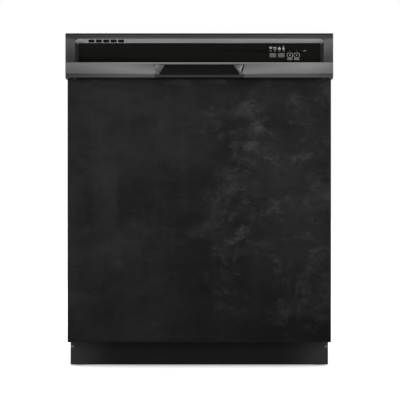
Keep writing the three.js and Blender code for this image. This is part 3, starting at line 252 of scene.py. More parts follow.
class Paint(Bench):
    """A material, and its one Principled shader."""

    def __init__(self, name, **constants):
        self.material = bpy.data.materials.new(name)
        self.material.use_nodes = True
        super().__init__(self.material.node_tree)
        self.shader = self.tree.nodes["Principled BSDF"]
        for key, value in constants.items():
            self.shader.inputs[key.replace("_", " ")].default_value = value

    def coat(self, **inputs):
        """Feeds the shader's sockets and gives the material."""
        for key, value in inputs.items():
            self.feed(self.shader.inputs[key.replace("_", " ")], value)
        return self.material


def brushed_steel(name, shade, roughness, grain=(3, 900, 900), contrast=0.12):
    """Steel with fine lines along its grain, and slow changes in its polish."""
    paint = Paint(name, Metallic=1.0)
    lines = paint.noise(1.0, 2.0, stretch=grain)
    clouds = paint.noise(3.0, 2.0, stretch=(1, 1, 2))
    level = lines * 0.6 + clouds * 0.4
    tone = paint.tint(level, scaled(shade, 1 - contrast), scaled(shade, 1 + contrast))
    matt = roughness - 0.07 + lines * 0.1 + clouds * 0.04
    return paint.coat(Base_Color=tone, Roughness=matt, Normal=paint.bump(lines, 0.12, 0.0002))


def console_steel(name, shade, roughness):
    """Brushed strip steel with fine grain lines, and painted light: painted highlights in two long swells, painted
    shade at its ends, on the sill below the pocket and over the top rounding, and a matt black top put on as
    painted shade.
    """
    paint = Paint(name, Specular_IOR_Level=0.15)
    lines = paint.noise(1.0, 2.0, stretch=(4, 1000, 1000))
    across, up = paint.axis(0), paint.axis(2)
    # painted highlights: two long bright swells across the strip stand in for light caught by the brushed steel
    left_painted_highlight = (1 - abs(across + 0.19) * 6.5).between(0.0, 1.0)
    right_painted_highlight = (1 - abs(across - 0.225) * 6.0).between(0.0, 1.0)
    painted_highlights = left_painted_highlight + right_painted_highlight
    # painted shade: the housing and band are darkened towards both ends
    ends = (-1 * across).between(0.15, 0.33) + across.between(0.23, 0.34)
    level = lines * 0.12 + painted_highlights * 0.1 - ends * 0.8 + 0.78
    face = paint.tint(level, scaled(shade, 0.45), scaled(shade, 1.15))
    # painted shade on the sill below the pocket, where the band curves inward; not wear
    painted_sill_shade = (0.104 - abs(across)).between(0.0, 0.006) * (0.6695 - up).between(0.0, 0.004)
    wear_and_sill_shade = paint.tint(painted_sill_shade * 0.6, face, scaled(shade, 0.08))
    # painted shade over the top rounding of the housing
    painted_top_shade = paint.tint(up.between(0.743, 0.7515) * 0.8, wear_and_sill_shade, scaled(shade, 0.07))
    # painted shade: the top of the housing is made matt black and non-metal so that it reads dark
    painted_shade_top = up.between(0.7531, 0.7537)
    tone = paint.tint(painted_shade_top, painted_top_shade, (0.02, 0.02, 0.02))
    matt = roughness - 0.05 + lines * 0.1 + painted_shade_top * 0.5
    normal = paint.bump(lines, 0.1, 0.0002)
    return paint.coat(Base_Color=tone, Metallic=1 - painted_shade_top, Roughness=matt, Normal=normal)


def slate_sheet(name, shade):
    """A dark sheet with broad clouds, ragged level strokes, and chipped pale flecks mostly to the right."""
    paint = Paint(name, Specular_IOR_Level=0.22)
    clouds = paint.noise(3.0, 8.0, 0.66, 0.25, shift=(0.4, 0, 0.2))
    ragged = paint.noise(9.0, 9.0, 0.72, 0.6, stretch=(0.8, 1, 1.5), turn=(0, 0.3, 0))
    strokes = paint.noise(1.0, 8.0, 0.72, 0.8, stretch=(5.0, 1, 14.0), turn=(0, 0.15, 0), shift=(0, 0, 2.0))
    uprights = paint.noise(1.0, 5.0, 0.65, 0.3, stretch=(26.0, 1, 3.0)).between(0.5, 0.72)
    across, up = paint.axis(0), paint.axis(2)
    right = (1 - abs(across - 0.17) * 4.0).between(0.0, 0.9)
    middle = (1 - abs(up - 0.38) * 2.5).between(0.0, 0.7)
    wear_and_sill_shade = right * middle
    patches = paint.noise(7.0, 9.0, 0.74, 0.5, stretch=(1, 1, 1.25), shift=(3.1, 0, 1.7))
    chips = paint.noise(30.0, 8.0, 0.8, 0.6, stretch=(0.8, 1, 1.5), turn=(0, 0.4, 0))
    pale = patches.between(0.48, 0.62) * (0.2 + wear_and_sill_shade * 0.8) * (0.35 + chips.between(0.42, 0.62) * 0.65)
    pits = chips.between(0.36, 0.44)
    dark = (1 - pits) * patches.between(0.42, 0.55) * wear_and_sill_shade
    fine = (1 - abs(paint.noise(16.0, 8.0, 0.76, 0.8, turn=(0, 0.6, 0)) - 0.5) * 60).between(0.0, 1.0)
    cracks = fine * patches.between(0.5, 0.6) * (0.25 + wear_and_sill_shade * 0.75)
    soft = clouds * 0.5 + strokes * 0.3 + ragged * 0.2
    ground = paint.tint(soft.between(0.38, 0.62), scaled(shade, 0.4), scaled(shade, 1.3))
    streaked = paint.tint(uprights * 0.3, ground, scaled(shade, 1.7))
    lower = (up - across * 0.35).between(-0.08, 0.36)
    dimmed = paint.tint((1 - lower) * 0.9, streaked, scaled(shade, 0.2))
    flecked = paint.tint(pale * (lower * 0.6 + 0.4), dimmed, scaled(shade, 3.0))
    chipped = paint.tint(cracks * 0.4, flecked, scaled(shade, 3.6))
    tone = paint.tint(dark * 0.8, chipped, scaled(shade, 0.15))
    grain = paint.noise(700.0, 3.0)
    matt = 0.54 + soft * 0.14 - pale * 0.1
    height = grain + pale * 2.0 + cracks - dark * 2.0
    return paint.coat(Base_Color=tone, Roughness=matt, Normal=paint.bump(height, 0.12, 0.0003))


def paintwork(name, shade, roughness, specular=0.3):
    """Baked paint with a slight orange peel."""
    paint = Paint(name, Specular_IOR_Level=specular)
    peel = paint.noise(420.0, 2.0)
    clouds = paint.noise(9.0, 3.0)
    tone = paint.tint(clouds, scaled(shade, 0.85), scaled(shade, 1.15))
    return paint.coat(Base_Color=tone, Roughness=roughness + clouds * 0.08, Normal=paint.bump(peel, 0.06))


def toe_paint(name, shade):
    """Satin paint, paler towards both ends of the toe panel as a painted reflection, and scuffed paler along its
    foot.
    """
    paint = Paint(name, Specular_IOR_Level=0.3)
    clouds = paint.noise(9.0, 4.0)
    scuffs = paint.noise(1.0, 3.0, stretch=(30, 30, 220)).between(0.62, 0.72)
    # painted reflection: both ends of the panel are made paler
    ends = abs(paint.axis(0)).between(0.19, 0.27)
    foot = (1 - paint.axis(2) * 40).between(0.0, 1.0) * scuffs
    tone = paint.tint(ends * (0.75 + clouds * 0.5), scaled(shade, 0.95), scaled(shade, 2.6))
    wear_and_sill_shade = paint.tint(foot * 0.5, tone, scaled(shade, 3.4))
    peel = paint.noise(420.0, 2.0)
    return paint.coat(Base_Color=wear_and_sill_shade, Roughness=0.46 + clouds * 0.08, Normal=paint.bump(peel, 0.06))


def gloss_panel(name, shade):
    """Gloss black with faint handling marks in its shine."""
    paint = Paint(name, Specular_IOR_Level=0.12)
    smears = paint.noise(14.0, 5.0, 0.6, 1.2, stretch=(1, 1, 2.5))
    tone = paint.tint(smears, scaled(shade, 0.8), scaled(shade, 1.2))
    return paint.coat(Base_Color=tone, Roughness=0.1 + smears * 0.1)


def moulding(name, shade, roughness, grain=900.0, specular=0.4, mark=0.08):
    """Moulded plastic: fine spark texture and a little unevenness of tone and shine."""
    paint = Paint(name, Specular_IOR_Level=specular)
    spark = paint.noise(grain, 2.0)
    clouds = paint.noise(18.0, 4.0)
    tone = paint.tint(clouds, scaled(shade, 0.9), scaled(shade, 1.1))
    matt = roughness - 0.06 + clouds * 0.12
    return paint.coat(Base_Color=tone, Roughness=matt, Normal=paint.bump(spark, mark, 0.0003))


def zinc_plate(name, shade):
    """Zinc with its crystal spangle."""
    paint = Paint(name, Metallic=1.0)
    crystals = paint.node("TexVoronoi", None, {"Vector": paint.place(), "Scale": 110.0}, output=1)
    level = paint.node("SeparateColor", None, {0: crystals})
    fine = paint.noise(300.0, 3.0)
    tone = paint.tint(level * 0.7 + fine * 0.3, scaled(shade, 0.8), scaled(shade, 1.15))
    return paint.coat(Base_Color=tone, Roughness=0.34 + level * 0.16, Normal=paint.bump(fine, 0.05))


def felt_sheet(name, shade):
    """Matted fibres with paler flecks."""
    paint = Paint(name, Sheen_Weight=0.25, Sheen_Roughness=0.6, Specular_IOR_Level=0.2)
    fibres = paint.noise(340.0, 6.0, 0.7, 2.0, stretch=(1, 1, 0.35))
    mats = paint.noise(30.0, 4.0)
    tone = paint.tint(fibres.between(0.3, 0.75), scaled(shade, 0.55), scaled(shade, 1.7))
    flecks = paint.tint(paint.noise(190.0, 2.0).between(0.66, 0.74) * 0.5, tone, scaled(shade, 4))
    bumps = paint.bump(fibres + mats * 0.6, 0.5, 0.0012)
    return paint.coat(Base_Color=flecks, Roughness=0.86 + mats * 0.1, Normal=bumps)


def sheet_rubber(name, shade):
    """Moulded rubber with a dusty bloom."""
    paint = Paint(name, Specular_IOR_Level=0.3)
    bloom = paint.noise(26.0, 5.0, 0.6)
    tone = paint.tint(bloom.between(0.4, 0.75), shade, scaled(shade, 2.0))
    fine = paint.noise(600.0, 2.0)
    return paint.coat(Base_Color=tone, Roughness=0.62 + bloom * 0.2, Normal=paint.bump(fine, 0.12))


def finish(kind, colours):
    """The material of that name, made the first time that it is asked for."""
    name = kind + "_finish"
    if name in bpy.data.materials:
        return bpy.data.materials[name]
    makers = {
        "console_steel": lambda: console_steel(name, colours.console, 0.34),
        "ledge_satin": lambda: paintwork(name, colours.ledge, 0.4, 0.5),
        "painted_wall_shade": lambda: paintwork(name, colours.wall, 0.42),
        "slate_sheet": lambda: slate_sheet(name, colours.slate),
        "case_paint": lambda: paintwork(name, colours.case, 0.5),
        "toe_paint": lambda: toe_paint(name, colours.toe),
        "gloss_panel": lambda: gloss_panel(name, colours.gloss),
        "key_grey": lambda: moulding(name, colours.key, 0.42, 1400.0),
        "print_white": lambda: moulding(name, colours.print_white, 0.6, 2000.0, 0.2),
        "pocket_black": lambda: moulding(name, colours.black, 0.45, 800.0, 0.3),
        "black_moulding": lambda: moulding(name, colours.black, 0.45),
        "grey_moulding": lambda: moulding(name, colours.grey, 0.42),
        "white_moulding": lambda: moulding(name, colours.white, 0.4),
        "rack_coating": lambda: moulding(name, colours.coating, 0.34, 500.0, 0.5, 0.15),
        "tub_steel": lambda: brushed_steel(name, colours.stainless, 0.26, (900, 3, 900)),
        "liner_steel": lambda: brushed_steel(name, colours.stainless, 0.28, (900, 900, 3)),
        "zinc_plate": lambda: zinc_plate(name, colours.zinc),
        "heater_nickel": lambda: brushed_steel(name, colours.nickel, 0.42, (60, 60, 60), 0.3),
        "seal_rubber": lambda: sheet_rubber(name, colours.rubber),
        "blanket_felt": lambda: felt_sheet(name, colours.felt),
    }
    return makers[kind]()


FINISH_OF_SLOT = {
    "console_steel": "console_steel",
    "door_sheet": "slate_sheet",
    "door_case": "case_paint",
    "toe_paint": "toe_paint",
    "display_gloss": "gloss_panel",
    "key_grey": "key_grey",
    "pocket_black": "pocket_black",
    "tub_steel": "tub_steel",
    "zinc_steel": "zinc_plate",
    "heater_steel": "heater_nickel",
    "works_black": "black_moulding",
    "works_grey": "grey_moulding",
    "works_white": "white_moulding",
    "rack_coating": "rack_coating",
    "seal_rubber": "seal_rubber",
    "blanket_felt": "blanket_felt",
}


# ---------- Mesh work, in millimetres ----------
COIL_SIDES = 6
COIL_STEPS = 12  # in each turn


class Box:
    """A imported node's box at rest, in millimetres."""

    def __init__(self, node):
        low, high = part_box(node)
        self.low = low / MM
        self.high = high / MM
        self.middle = (self.low + self.high) / 2
        self.size = self.high - self.low


def mm(metres):
    return metres / MM


def node_copy(node):
    """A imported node's mesh as one closed skin with whole faces."""
    bm = bmesh.new()
    bm.from_mesh(frame["nodes"][node].data)
    bmesh.ops.scale(bm, vec=(1 / MM,) * 3, verts=bm.verts)
    bmesh.ops.remove_doubles(bm, verts=bm.verts, dist=0.002)
    bmesh.ops.dissolve_limit(bm, angle_limit=math.radians(0.5), verts=bm.verts, edges=bm.edges)
    return bm


def sharp_edges(bm):
    return [e for e in bm.edges if len(e.link_faces) == 2 and e.calc_face_angle(0.0) > SHARP_ANGLE]


def soften(bm, radius, segments=2, edges=None):
    """Rounds the sharp edges, or the ones given."""
    if radius > 0:
        chosen = sharp_edges(bm) if edges is None else list(edges)
        bmesh.ops.bevel(
            bm, geom=chosen, offset=radius, offset_type="OFFSET", segments=segments, profile=0.5,
            affect="EDGES", clamp_overlap=True, material=-1,
        )
    return bm


def block(low, high, radius=0.0, segments=2):
    low, high = Vector(low), Vector(high)
    bm = bmesh.new()
    bmesh.ops.create_cube(bm, size=1.0)
    bmesh.ops.scale(bm, vec=high - low, verts=bm.verts)
    bmesh.ops.translate(bm, vec=(low + high) / 2, verts=bm.verts)
    return soften(bm, radius, segments)


def stood(bm, centre, towards):
    """Turns a mesh that stands along Z to a direction, and moves it to a centre."""
    stand = UP.rotation_difference(Vector(towards)).to_matrix().to_4x4()
    bm.transform(Matrix.Translation(Vector(centre)) @ stand)
    return bm


def cut_across(bm, axis, places):
    """Adds a loop of edges across an axis at each place."""
    way = Vector([float(axis == k) for k in range(3)])
    for place in places:
        geometry = bm.verts[:] + bm.edges[:] + bm.faces[:]
        bmesh.ops.bisect_plane(bm, geom=geometry, plane_co=way * place, plane_no=way, dist=0.01)


def turned(profile, centre=(0, 0, 0), towards=UP, steps=32, radius=0.0):
    """A profile of (radius, height) corners spun about its axis, then stood along a direction."""
    bm = bmesh.new()
    corners = [bm.verts.new((across, 0, height)) for across, height in profile]
    lines = [bm.edges.new(pair) for pair in zip(corners, corners[1:])]
    if profile[0][0] > 0 and profile[-1][0] > 0:
        lines.append(bm.edges.new((corners[-1], corners[0])))
    bmesh.ops.spin(
        bm, geom=corners + lines, cent=(0, 0, 0), axis=(0, 0, 1), angle=TURN, steps=steps, use_merge=True
    )
    bmesh.ops.remove_doubles(bm, verts=bm.verts, dist=0.001)
    bmesh.ops.recalc_face_normals(bm, faces=bm.faces)
    soften(bm, radius)
    return stood(bm, centre, towards)


def rounded_path(corners, radius, steps=4, closed=False):
    """The corners joined by straight lines, with an arc in place of each bend."""
    corners = [Vector(c) for c in corners]
    count = len(corners)
    points = []
    for i, corner in enumerate(corners):
        if not closed and i in (0, count - 1):
            points.append(corner)
            continue
        back = (corners[i - 1] - corner).normalized()
        ahead = (corners[(i + 1) % count] - corner).normalized()
        half = back.angle(ahead) / 2
        reach = radius / math.tan(half)
        centre = corner + (back + ahead).normalized() * (radius / math.sin(half))
        start, end = corner + back * reach - centre, corner + ahead * reach - centre
        arc = [start.slerp(end, k / steps).normalized() * radius for k in range(steps + 1)]
        points += [centre + spoke for spoke in arc]
    return points


def sweep(path, radius, sides=8, closed=False):
    """A round wire or tube along a path, with capped ends."""
    path = [Vector(p) for p in path]
    count = len(path)
    bm = bmesh.new()
    ring = bmesh.ops.create_circle(bm, segments=sides, radius=radius)["verts"]
    edges = list({e for v in ring for e in v.link_edges})
    rings = [(ring, edges)]
    heading = UP
    for i, point in enumerate(path):
        before = path[i - 1] if closed or i else point
        after = path[(i + 1) % count] if closed or i < count - 1 else point
        way = (after - before).normalized()
        if i:
            made = bmesh.ops.extrude_edge_only(bm, edges=edges)["geom"]
            ring = [g for g in made if isinstance(g, bmesh.types.BMVert)]
            edges = [g for g in made if isinstance(g, bmesh.types.BMEdge)]
            rings.append((ring, edges))
        pivot = path[i - 1] if i else Vector()
        turn = heading.rotation_difference(way).to_matrix()
        bmesh.ops.rotate(bm, cent=pivot, matrix=turn, verts=ring)
        bmesh.ops.translate(bm, vec=point - pivot, verts=ring)
        heading = way
    if closed:
        bmesh.ops.bridge_loops(bm, edges=rings[0][1] + rings[-1][1])
    else:
        for end in (rings[0], rings[-1]):
            bmesh.ops.contextual_create(bm, geom=end[1])
    bmesh.ops.recalc_face_normals(bm, faces=bm.faces)
    return bm


def coil(centre, towards, radius, wire, pitch, turns):
    """A helix of round wire about an axis that starts at centre."""
    bm = bmesh.new()
    ring = bmesh.ops.create_circle(bm, cap_ends=True, segments=COIL_SIDES, radius=wire / 2)["verts"]
    bmesh.ops.rotate(bm, cent=(0, 0, 0), matrix=Matrix.Rotation(QUARTER, 3, "X"), verts=ring)
    bmesh.ops.translate(bm, vec=(radius, 0, 0), verts=ring)
    bmesh.ops.spin(
        bm, geom=bm.faces[:] + bm.edges[:] + bm.verts[:], cent=(0, 0, 0), axis=(0, 0, 1),
        dvec=(0, 0, pitch / COIL_STEPS), angle=TURN * turns, steps=int(COIL_STEPS * turns),
    )
    bmesh.ops.recalc_face_normals(bm, faces=bm.faces)
    return stood(bm, centre, towards)


def joined(*parts):
    """Several meshes as one; the others are used up."""
    whole = parts[0]
    for part in parts[1:]:
        add(whole, part)
    return whole


def add(whole, part, places=None):
    """Adds a part to a mesh, once, or once at each place."""
    spare = bpy.data.meshes.new("spare")
    part.to_mesh(spare)
    part.free()
    done = Matrix.Identity(4)
    for place in places or [Matrix.Identity(4)]:
        spare.transform(place @ done.inverted())
        done = place
        whole.from_mesh(spare)
    bpy.data.meshes.remove(spare)
    return whole


def shifted(points):
    return [Matrix.Translation(Vector(p)) for p in points]


def screws(points, towards, diameter):
    """Pan-head screws with a driver recess, seated at the points."""
    r = diameter / 2
    tall = r * 0.55
    profile = [(0, tall * 0.35), (r * 0.3, tall * 0.4), (r * 0.42, tall), (r * 0.72, tall * 0.92)]
    profile += [(r, tall * 0.3), (r, -0.3), (0, -0.3)]
    return add(bmesh.new(), turned(profile, towards=towards, steps=16), shifted(points))


def new_piece(name, bm, kinds, colours, body, stands_for=(), crease=35.0, parentless=False):
    """Makes a mesh a finished piece: it rides a body, and stands for nodes."""
    bmesh.ops.scale(bm, vec=(MM,) * 3, verts=bm.verts)
    mesh = bpy.data.meshes.new(name)
    bm.to_mesh(mesh)
    bm.free()
    mesh.shade_smooth()
    mesh.set_sharp_from_angle(angle=math.radians(crease))
    for kind in [kinds] if isinstance(kinds, str) else kinds:
        mesh.materials.append(finish(kind, colours))
    piece = bpy.data.objects.new(name, mesh)
    bpy.context.scene.collection.objects.link(piece)
    if not parentless:
        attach(piece, body)
    if stands_for:
        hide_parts(*stands_for)
    return piece


def refined(node, name, colours, radius, kinds=None, extra=(), crease=38.0):
    """A node rebuilt with rounded edges, and with extra detail joined to it."""
    bm = joined(soften(node_copy(node), radius), *extra)
    slot = SLOT_OF[node]
    kinds = kinds or FINISH_OF_SLOT[slot]
    return new_piece(name, bm, kinds, colours, BODY_OF[node], [node], crease)


def settings(context):
    return context.scene.dishwasher_sizes, context.scene.dishwasher_colours


# ---------- Door ----------
PRINT = 0.06  # thickness of a printed mark


def painted(bm, index):
    """Gives every face a material slot."""
    for face in bm.faces:
        face.material_index = index
    return bm


def bar(x0, x1, z0, z1, y):
    return block((x0, y - PRINT, z0), (x1, y + PRINT, z1))


def disc(x, z, y, radius, sides=20, turn=0.0):
    bm = bmesh.new()
    bmesh.ops.create_cone(
        bm, cap_ends=True, segments=sides, radius1=radius, radius2=radius, depth=2 * PRINT
    )
    stand = Matrix.Rotation(QUARTER, 4, "X") @ Matrix.Rotation(turn, 4, "Z")
    bm.transform(Matrix.Translation((x, y, z)) @ stand)
    return bm


def below(bm, height):
    """Keeps what is below a height, with the cut closed."""
    geometry = bm.verts[:] + bm.edges[:] + bm.faces[:]
    cut = bmesh.ops.bisect_plane(
        bm, geom=geometry, plane_co=(0, 0, height), plane_no=(0, 0, 1), clear_outer=True
    )
    rim = [g for g in cut["geom_cut"] if isinstance(g, bmesh.types.BMEdge)]
    bmesh.ops.contextual_create(bm, geom=rim)
    return bm


class DISHWASHER_OT_control_housing(bpy.types.Operator):
    """Builds the control housing with its pale recess ledge, painted shade on its recess side walls, and the
    baffle behind its vents
    """

    bl_idname = "dishwasher.control_housing"
    bl_label = "Control Housing"

    def execute(self, context):
        sizes, colours = settings(context)
        housing = node_copy("console_frame")
        outer = Box("console_frame").high.x - 5
        for face in housing.faces:
            if face.normal.z < -0.3 and face.normal.y < -0.3:
                face.material_index = 1
            # painted shade: the recess side walls take the dark satin finish
            elif abs(face.normal.x) > 0.5 and abs(face.calc_center_median().x) < outer:
                face.material_index = 2
        soften(housing, mm(sizes.edge_round))
        kinds = ["console_steel", "ledge_satin", "painted_wall_shade"]
        nodes = ["console_frame"]
        new_piece("control_housing", housing, kinds, colours, "door", nodes, 40)
        front = Box("control_panel").low.y
        baffle = block((-252, front + 1, 738.4), (-168, front + 2, 746), 0.3)
        new_piece("vent_baffle", baffle, "pocket_black", colours, "door")
        return {"FINISHED"}


class DISHWASHER_OT_control_panel(bpy.types.Operator):
    """Builds the gloss panel and the plain marks printed on it"""

    bl_idname = "dishwasher.control_panel"
    bl_label = "Control Panel"

    def execute(self, context):
        sizes, colours = settings(context)
        refined("control_panel", "gloss_panel", colours, mm(sizes.sheet_round))
        y = Box("control_panel").low.y
        foot, head = 722.4, 728.2
        marks = [below(disc(161.9, 727.6, y, 3.6), 727.2), bar(158.2, 165.6, 727.6, 728.6, y)]
        for x in (169.4, 173.3):
            marks += [disc(x, 726.6, y, 1.7, 12), bar(x - 0.4, x + 0.4, foot, 725, y)]
            marks.append(bar(x - 1.4, x + 1.4, foot, foot + 0.8, y))
        marks += [bar(178.4, 184.8, foot, 726.4, y), bar(179.6, 183.6, 727, 727.9, y)]
        marks.append(disc(181.6, head + 0.4, y, 0.7, 10))
        marks += [bar(188.8, 193.4, foot, 726.6, y), disc(191.1, 728.2, y, 2.4, 3, QUARTER)]
        marks.append(bar(190.5, 191.7, 728, 731.4, y))
        for x0, x1 in ((160, 164.6), (170, 173.6), (180.2, 183.8), (189.4, 194)):
            marks.append(bar(x0, x1, 719, 719.9, y))
        marks += [disc(x, 719.6, y, 0.55, 10) for x in (205.7, 221.0, 230.6)]
        marks.append(bar(235.6, 242.6, 719, 720.2, y))
        for x in (Box("start_button").middle.x, Box("cancel_button").middle.x):
            marks.append(bar(x - 6.0, x + 5.4, 701.6, 702.5, y))
            marks.append(bar(x - 6.0, x + 6.0, 699.2, 700.3, y))
        new_piece("panel_marks", joined(*marks), "print_white", colours, "door")
        return {"FINISHED"}


class DISHWASHER_OT_keys(bpy.types.Operator):
    """Builds the two grey keys and the two ringed black keys"""

    bl_idname = "dishwasher.keys"
    bl_label = "Keys"

    def execute(self, context):
        sizes, colours = settings(context)
        for node in ("cycle_button", "options_button"):
            refined(node, node.replace("button", "key"), colours, mm(sizes.edge_round) * 0.6)
        for node, corners in (("start_button", 3), ("cancel_button", 20)):
            box = Box(node)
            key = soften(node_copy(node), mm(sizes.sheet_round))
            face = max((f for f in key.faces if f.normal.y < -0.9), key=lambda f: f.calc_area())
            bmesh.ops.inset_region(key, faces=[face], thickness=0.35, use_even_offset=True)
            ring = bmesh.ops.inset_region(key, faces=[face], thickness=0.85, use_even_offset=True)
            for band in ring["faces"]:
                band.material_index = 1
            radius = 2.3 if corners == 3 else 1.3
            glyph = disc(box.middle.x, box.middle.z, box.low.y, radius, corners)
            add(key, painted(glyph, 1))
            kinds = ["gloss_panel", "print_white"]
            new_piece(node.replace("button", "key"), key, kinds, colours, node, [node])
        return {"FINISHED"}


class DISHWASHER_OT_handle(bpy.types.Operator):
    """Builds the handle band and the moulded pocket, whose satin cheeks are painted pale as a highlight"""

    bl_idname = "dishwasher.handle"
    bl_label = "Handle"

    def execute(self, context):
        sizes, colours = settings(context)
        refined("handle_band", "band_shell", colours, mm(sizes.edge_round), "console_steel", crease=42)
        pocket = node_copy("handle_pocket")
        cheek_reach = 104
        # painted highlight: the cheeks take the pale satin finish
        for face in pocket.faces:
            middle = face.calc_center_median()
            if abs(face.normal.x) > 0.05 and abs(middle.x) < cheek_reach:
                face.material_index = 1
        soften(pocket, mm(sizes.sheet_round))
        kinds = ["pocket_black", "ledge_satin"]
        new_piece("pocket_liner", pocket, kinds, colours, "door", ["handle_pocket"])
        return {"FINISHED"}


class DISHWASHER_OT_door(bpy.types.Operator):
    """Builds the door's sheet, case and inner liner, with its screws and steam vent"""

    bl_idname = "dishwasher.door"
    bl_label = "Door"

    def execute(self, context):
        sizes, colours = settings(context)
        refined("door_cover_sheet", "slate_cover", colours, 0.12)
        refined("door_outer_panel", "door_case", colours, mm(sizes.sheet_round))
        liner = Box("door_inner_liner")
        field = -253.0
        beads = [
            sweep([(-200, field, z), (200, field, z)], 2.4, 12) for z in (160, 184, 232, 256)
        ]
        kinds = "liner_steel"
        refined("door_inner_liner", "door_liner", colours, 1.4, kinds, [soften(b, 0.8) for b in beads])
        face = liner.high.y
        points = [(way * 266, face, z) for _, way in SIDES for z in range(150, 721, 95)]
        points += [(x, face, 716) for x in (-160, 0, 160)]
        heads = screws(points, (0, 1, 0), mm(sizes.screw_head))
        new_piece("liner_screws", heads, "zinc_plate", colours, "door")
        profile = [(0, 3.2), (7, 3.2), (7.5, 4), (12, 4), (12.5, 2.4), (15, 2.4), (15.5, 4)]
        profile += [(20, 4), (20.5, 2.4), (23, 2.4), (23.5, 4.4), (28, 3.6), (30, 0), (0, 0)]
        vent = turned(profile, (196, field, 628), (0, 1, 0), 40, 0.3)
        new_piece("steam_vent", vent, "grey_moulding", colours, "door")
        for side, _ in SIDES:
            refined(f"{side}_hinge_arm", f"{side}_hinge_plate", colours, mm(sizes.sheet_round))
        return {"FINISHED"}


class DISHWASHER_OT_latch(bpy.types.Operator):
    """Builds the latch hook and the strike that it catches"""

    bl_idname = "dishwasher.latch"
    bl_label = "Latch"

    def execute(self, context):
        sizes, colours = settings(context)
        for node, name in (("latch_hook", "latch_catch"), ("latch_strike", "latch_keeper")):
            refined(node, name, colours, mm(sizes.sheet_round), "liner_steel")
        return {"FINISHED"}


class DISHWASHER_OT_dispenser(bpy.types.Operator):
    """Builds the detergent dispenser, its ribbed sliding cover and the rinse-aid cap"""

    bl_idname = "dishwasher.dispenser"
    bl_label = "Dispenser"

    def execute(self, context):
        sizes, colours = settings(context)
        radius = mm(sizes.edge_round)
        refined("dispenser_body", "dispenser_case", colours, radius)
        cover = Box("dispenser_cover")
        left, right, face = cover.low.x + 16, cover.high.x - 16, cover.high.y
        ribs = [
            block((left, face - 0.6, z), (right, face + 1.1, z + 2.2), 0.5) for z in (371, 377, 383)
        ]
        refined("dispenser_cover", "dispenser_lid", colours, 1.2, extra=ribs)
        cap = Box("rinse_aid_cap")
        deep = cap.size.y
        r = cap.size.x / 2
        profile = [(0, deep - 2.2), (r - 5, deep - 2.2), (r - 4, deep), (r - 1, deep), (r, deep - 1.4)]
        profile += [(r, 0), (0, 0)]
        knob = turned(profile, (cap.middle.x, cap.low.y, cap.middle.z), (0, 1, 0), 40, 0.4)
        grip = block((cap.middle.x - 2, cap.high.y - 2.6, cap.middle.z - r + 5),
                     (cap.middle.x + 2, cap.high.y - 0.1, cap.middle.z + r - 5), 0.7)
        kinds, slot = "grey_moulding", SLOT_OF["rinse_aid_cap"]
        new_piece("rinse_cap", joined(knob, grip), kinds, colours, "rinse_aid_cap", ["rinse_aid_cap"])
        return {"FINISHED"}


# ---------- Cabinet ----------
class DISHWASHER_OT_tub(bpy.types.Operator):
    """Builds the stainless tub and the rubber seal round its mouth"""

    bl_idname = "dishwasher.tub"
    bl_label = "Tub and Seal"

    def execute(self, context):
        _, colours = settings(context)
        refined("tub", "tub_shell", colours, 0.8)
        refined("door_gasket", "door_seal", colours, 1.6)
        return {"FINISHED"}


def quilt_level(point, normal, pitch):
    """0 on the stitched lines of a surface and 1 at the middle of each square between them."""
    level = 1.0
    for axis in range(3):
        across = 1 - abs(normal[axis])
        wave = abs(math.sin(math.pi * point[axis] / pitch))
        level *= wave ** (0.5 * across)
    return level


class DISHWASHER_OT_blanket(bpy.types.Operator):
    """Builds the quilted felt blanket over the tub"""

    bl_idname = "dishwasher.blanket"
    bl_label = "Insulation Blanket"

    def execute(self, context):
        sizes, colours = settings(context)
        box = Box("insulation_blanket")
        low, high = box.low, box.high
        quilt = block(low, high)
        open_sides = [f for f in quilt.faces if f.normal.y < -0.5 or f.normal.z < -0.5]
        bmesh.ops.delete(quilt, geom=open_sides, context="FACES")
        folds = [e for e in quilt.edges if len(e.link_faces) == 2]
        soften(quilt, 15.0, 5, edges=folds)
        margin, cell = 20, 11
        for axis in range(3):
            span = high[axis] - low[axis] - 2 * margin
            steps = int(span / cell)
            places = [low[axis] + margin + span * k / steps for k in range(steps + 1)]
            cut_across(quilt, axis, places)
        bmesh.ops.recalc_face_normals(quilt, faces=quilt.faces)
        quilt.normal_update()
        outermost = max(quilt.faces, key=lambda f: f.calc_center_median().x)
        if outermost.normal.x <= 0:
            bmesh.ops.reverse_faces(quilt, faces=quilt.faces)
            quilt.normal_update()
        depth = mm(sizes.quilt_depth)
        for vert in quilt.verts:
            drawn = 1 - quilt_level(vert.co, vert.normal, mm(sizes.quilt_pitch))
            waves = 0.5 + 0.5 * noise.noise(vert.co * 0.03)
            vert.co -= vert.normal * (depth * drawn + 0.7 * waves)
        bmesh.ops.solidify(quilt, geom=quilt.faces[:], thickness=3.6)
        blanket = new_piece(
            "tub_blanket", quilt, "blanket_felt", colours, "cabinet",
            ["insulation_blanket"], 60,
        )
        return {"FINISHED"}


class DISHWASHER_OT_frame(bpy.types.Operator):
    """Builds the side rails with their leg nuts and screws, the rear member and counter brackets"""

    bl_idname = "dishwasher.frame"
    bl_label = "Frame"

    def execute(self, context):
        sizes, colours = settings(context)
        round_off = mm(sizes.sheet_round)
        for side, way in SIDES:
            rail = Box(f"{side}_side_rail")
            extra = []
            for end in ("front", "rear"):
                leg = Box(f"{side}_{end}_leg").middle
                nut = [(5.4, 0), (8.5, 0), (8.5, 5), (5.4, 5)]
                extra.append(turned(nut, (leg.x, leg.y, rail.low.z + 2), UP, 6, 0.5))
            web = way * rail.high.x if way > 0 else rail.low.x
            points = [(web, y, z) for y, z in ((-222, 100), (-222, 60), (-60, 40), (120, 40), (282, 92))]
            extra.append(screws(points, (way, 0, 0), mm(sizes.screw_head)))
            refined(f"{side}_side_rail", f"{side}_frame_rail", colours, round_off, extra=extra)
            refined(f"{side}_counter_bracket", f"{side}_counter_tab", colours, round_off)
        refined("rear_cross_member", "rear_tie", colours, round_off)
        return {"FINISHED"}


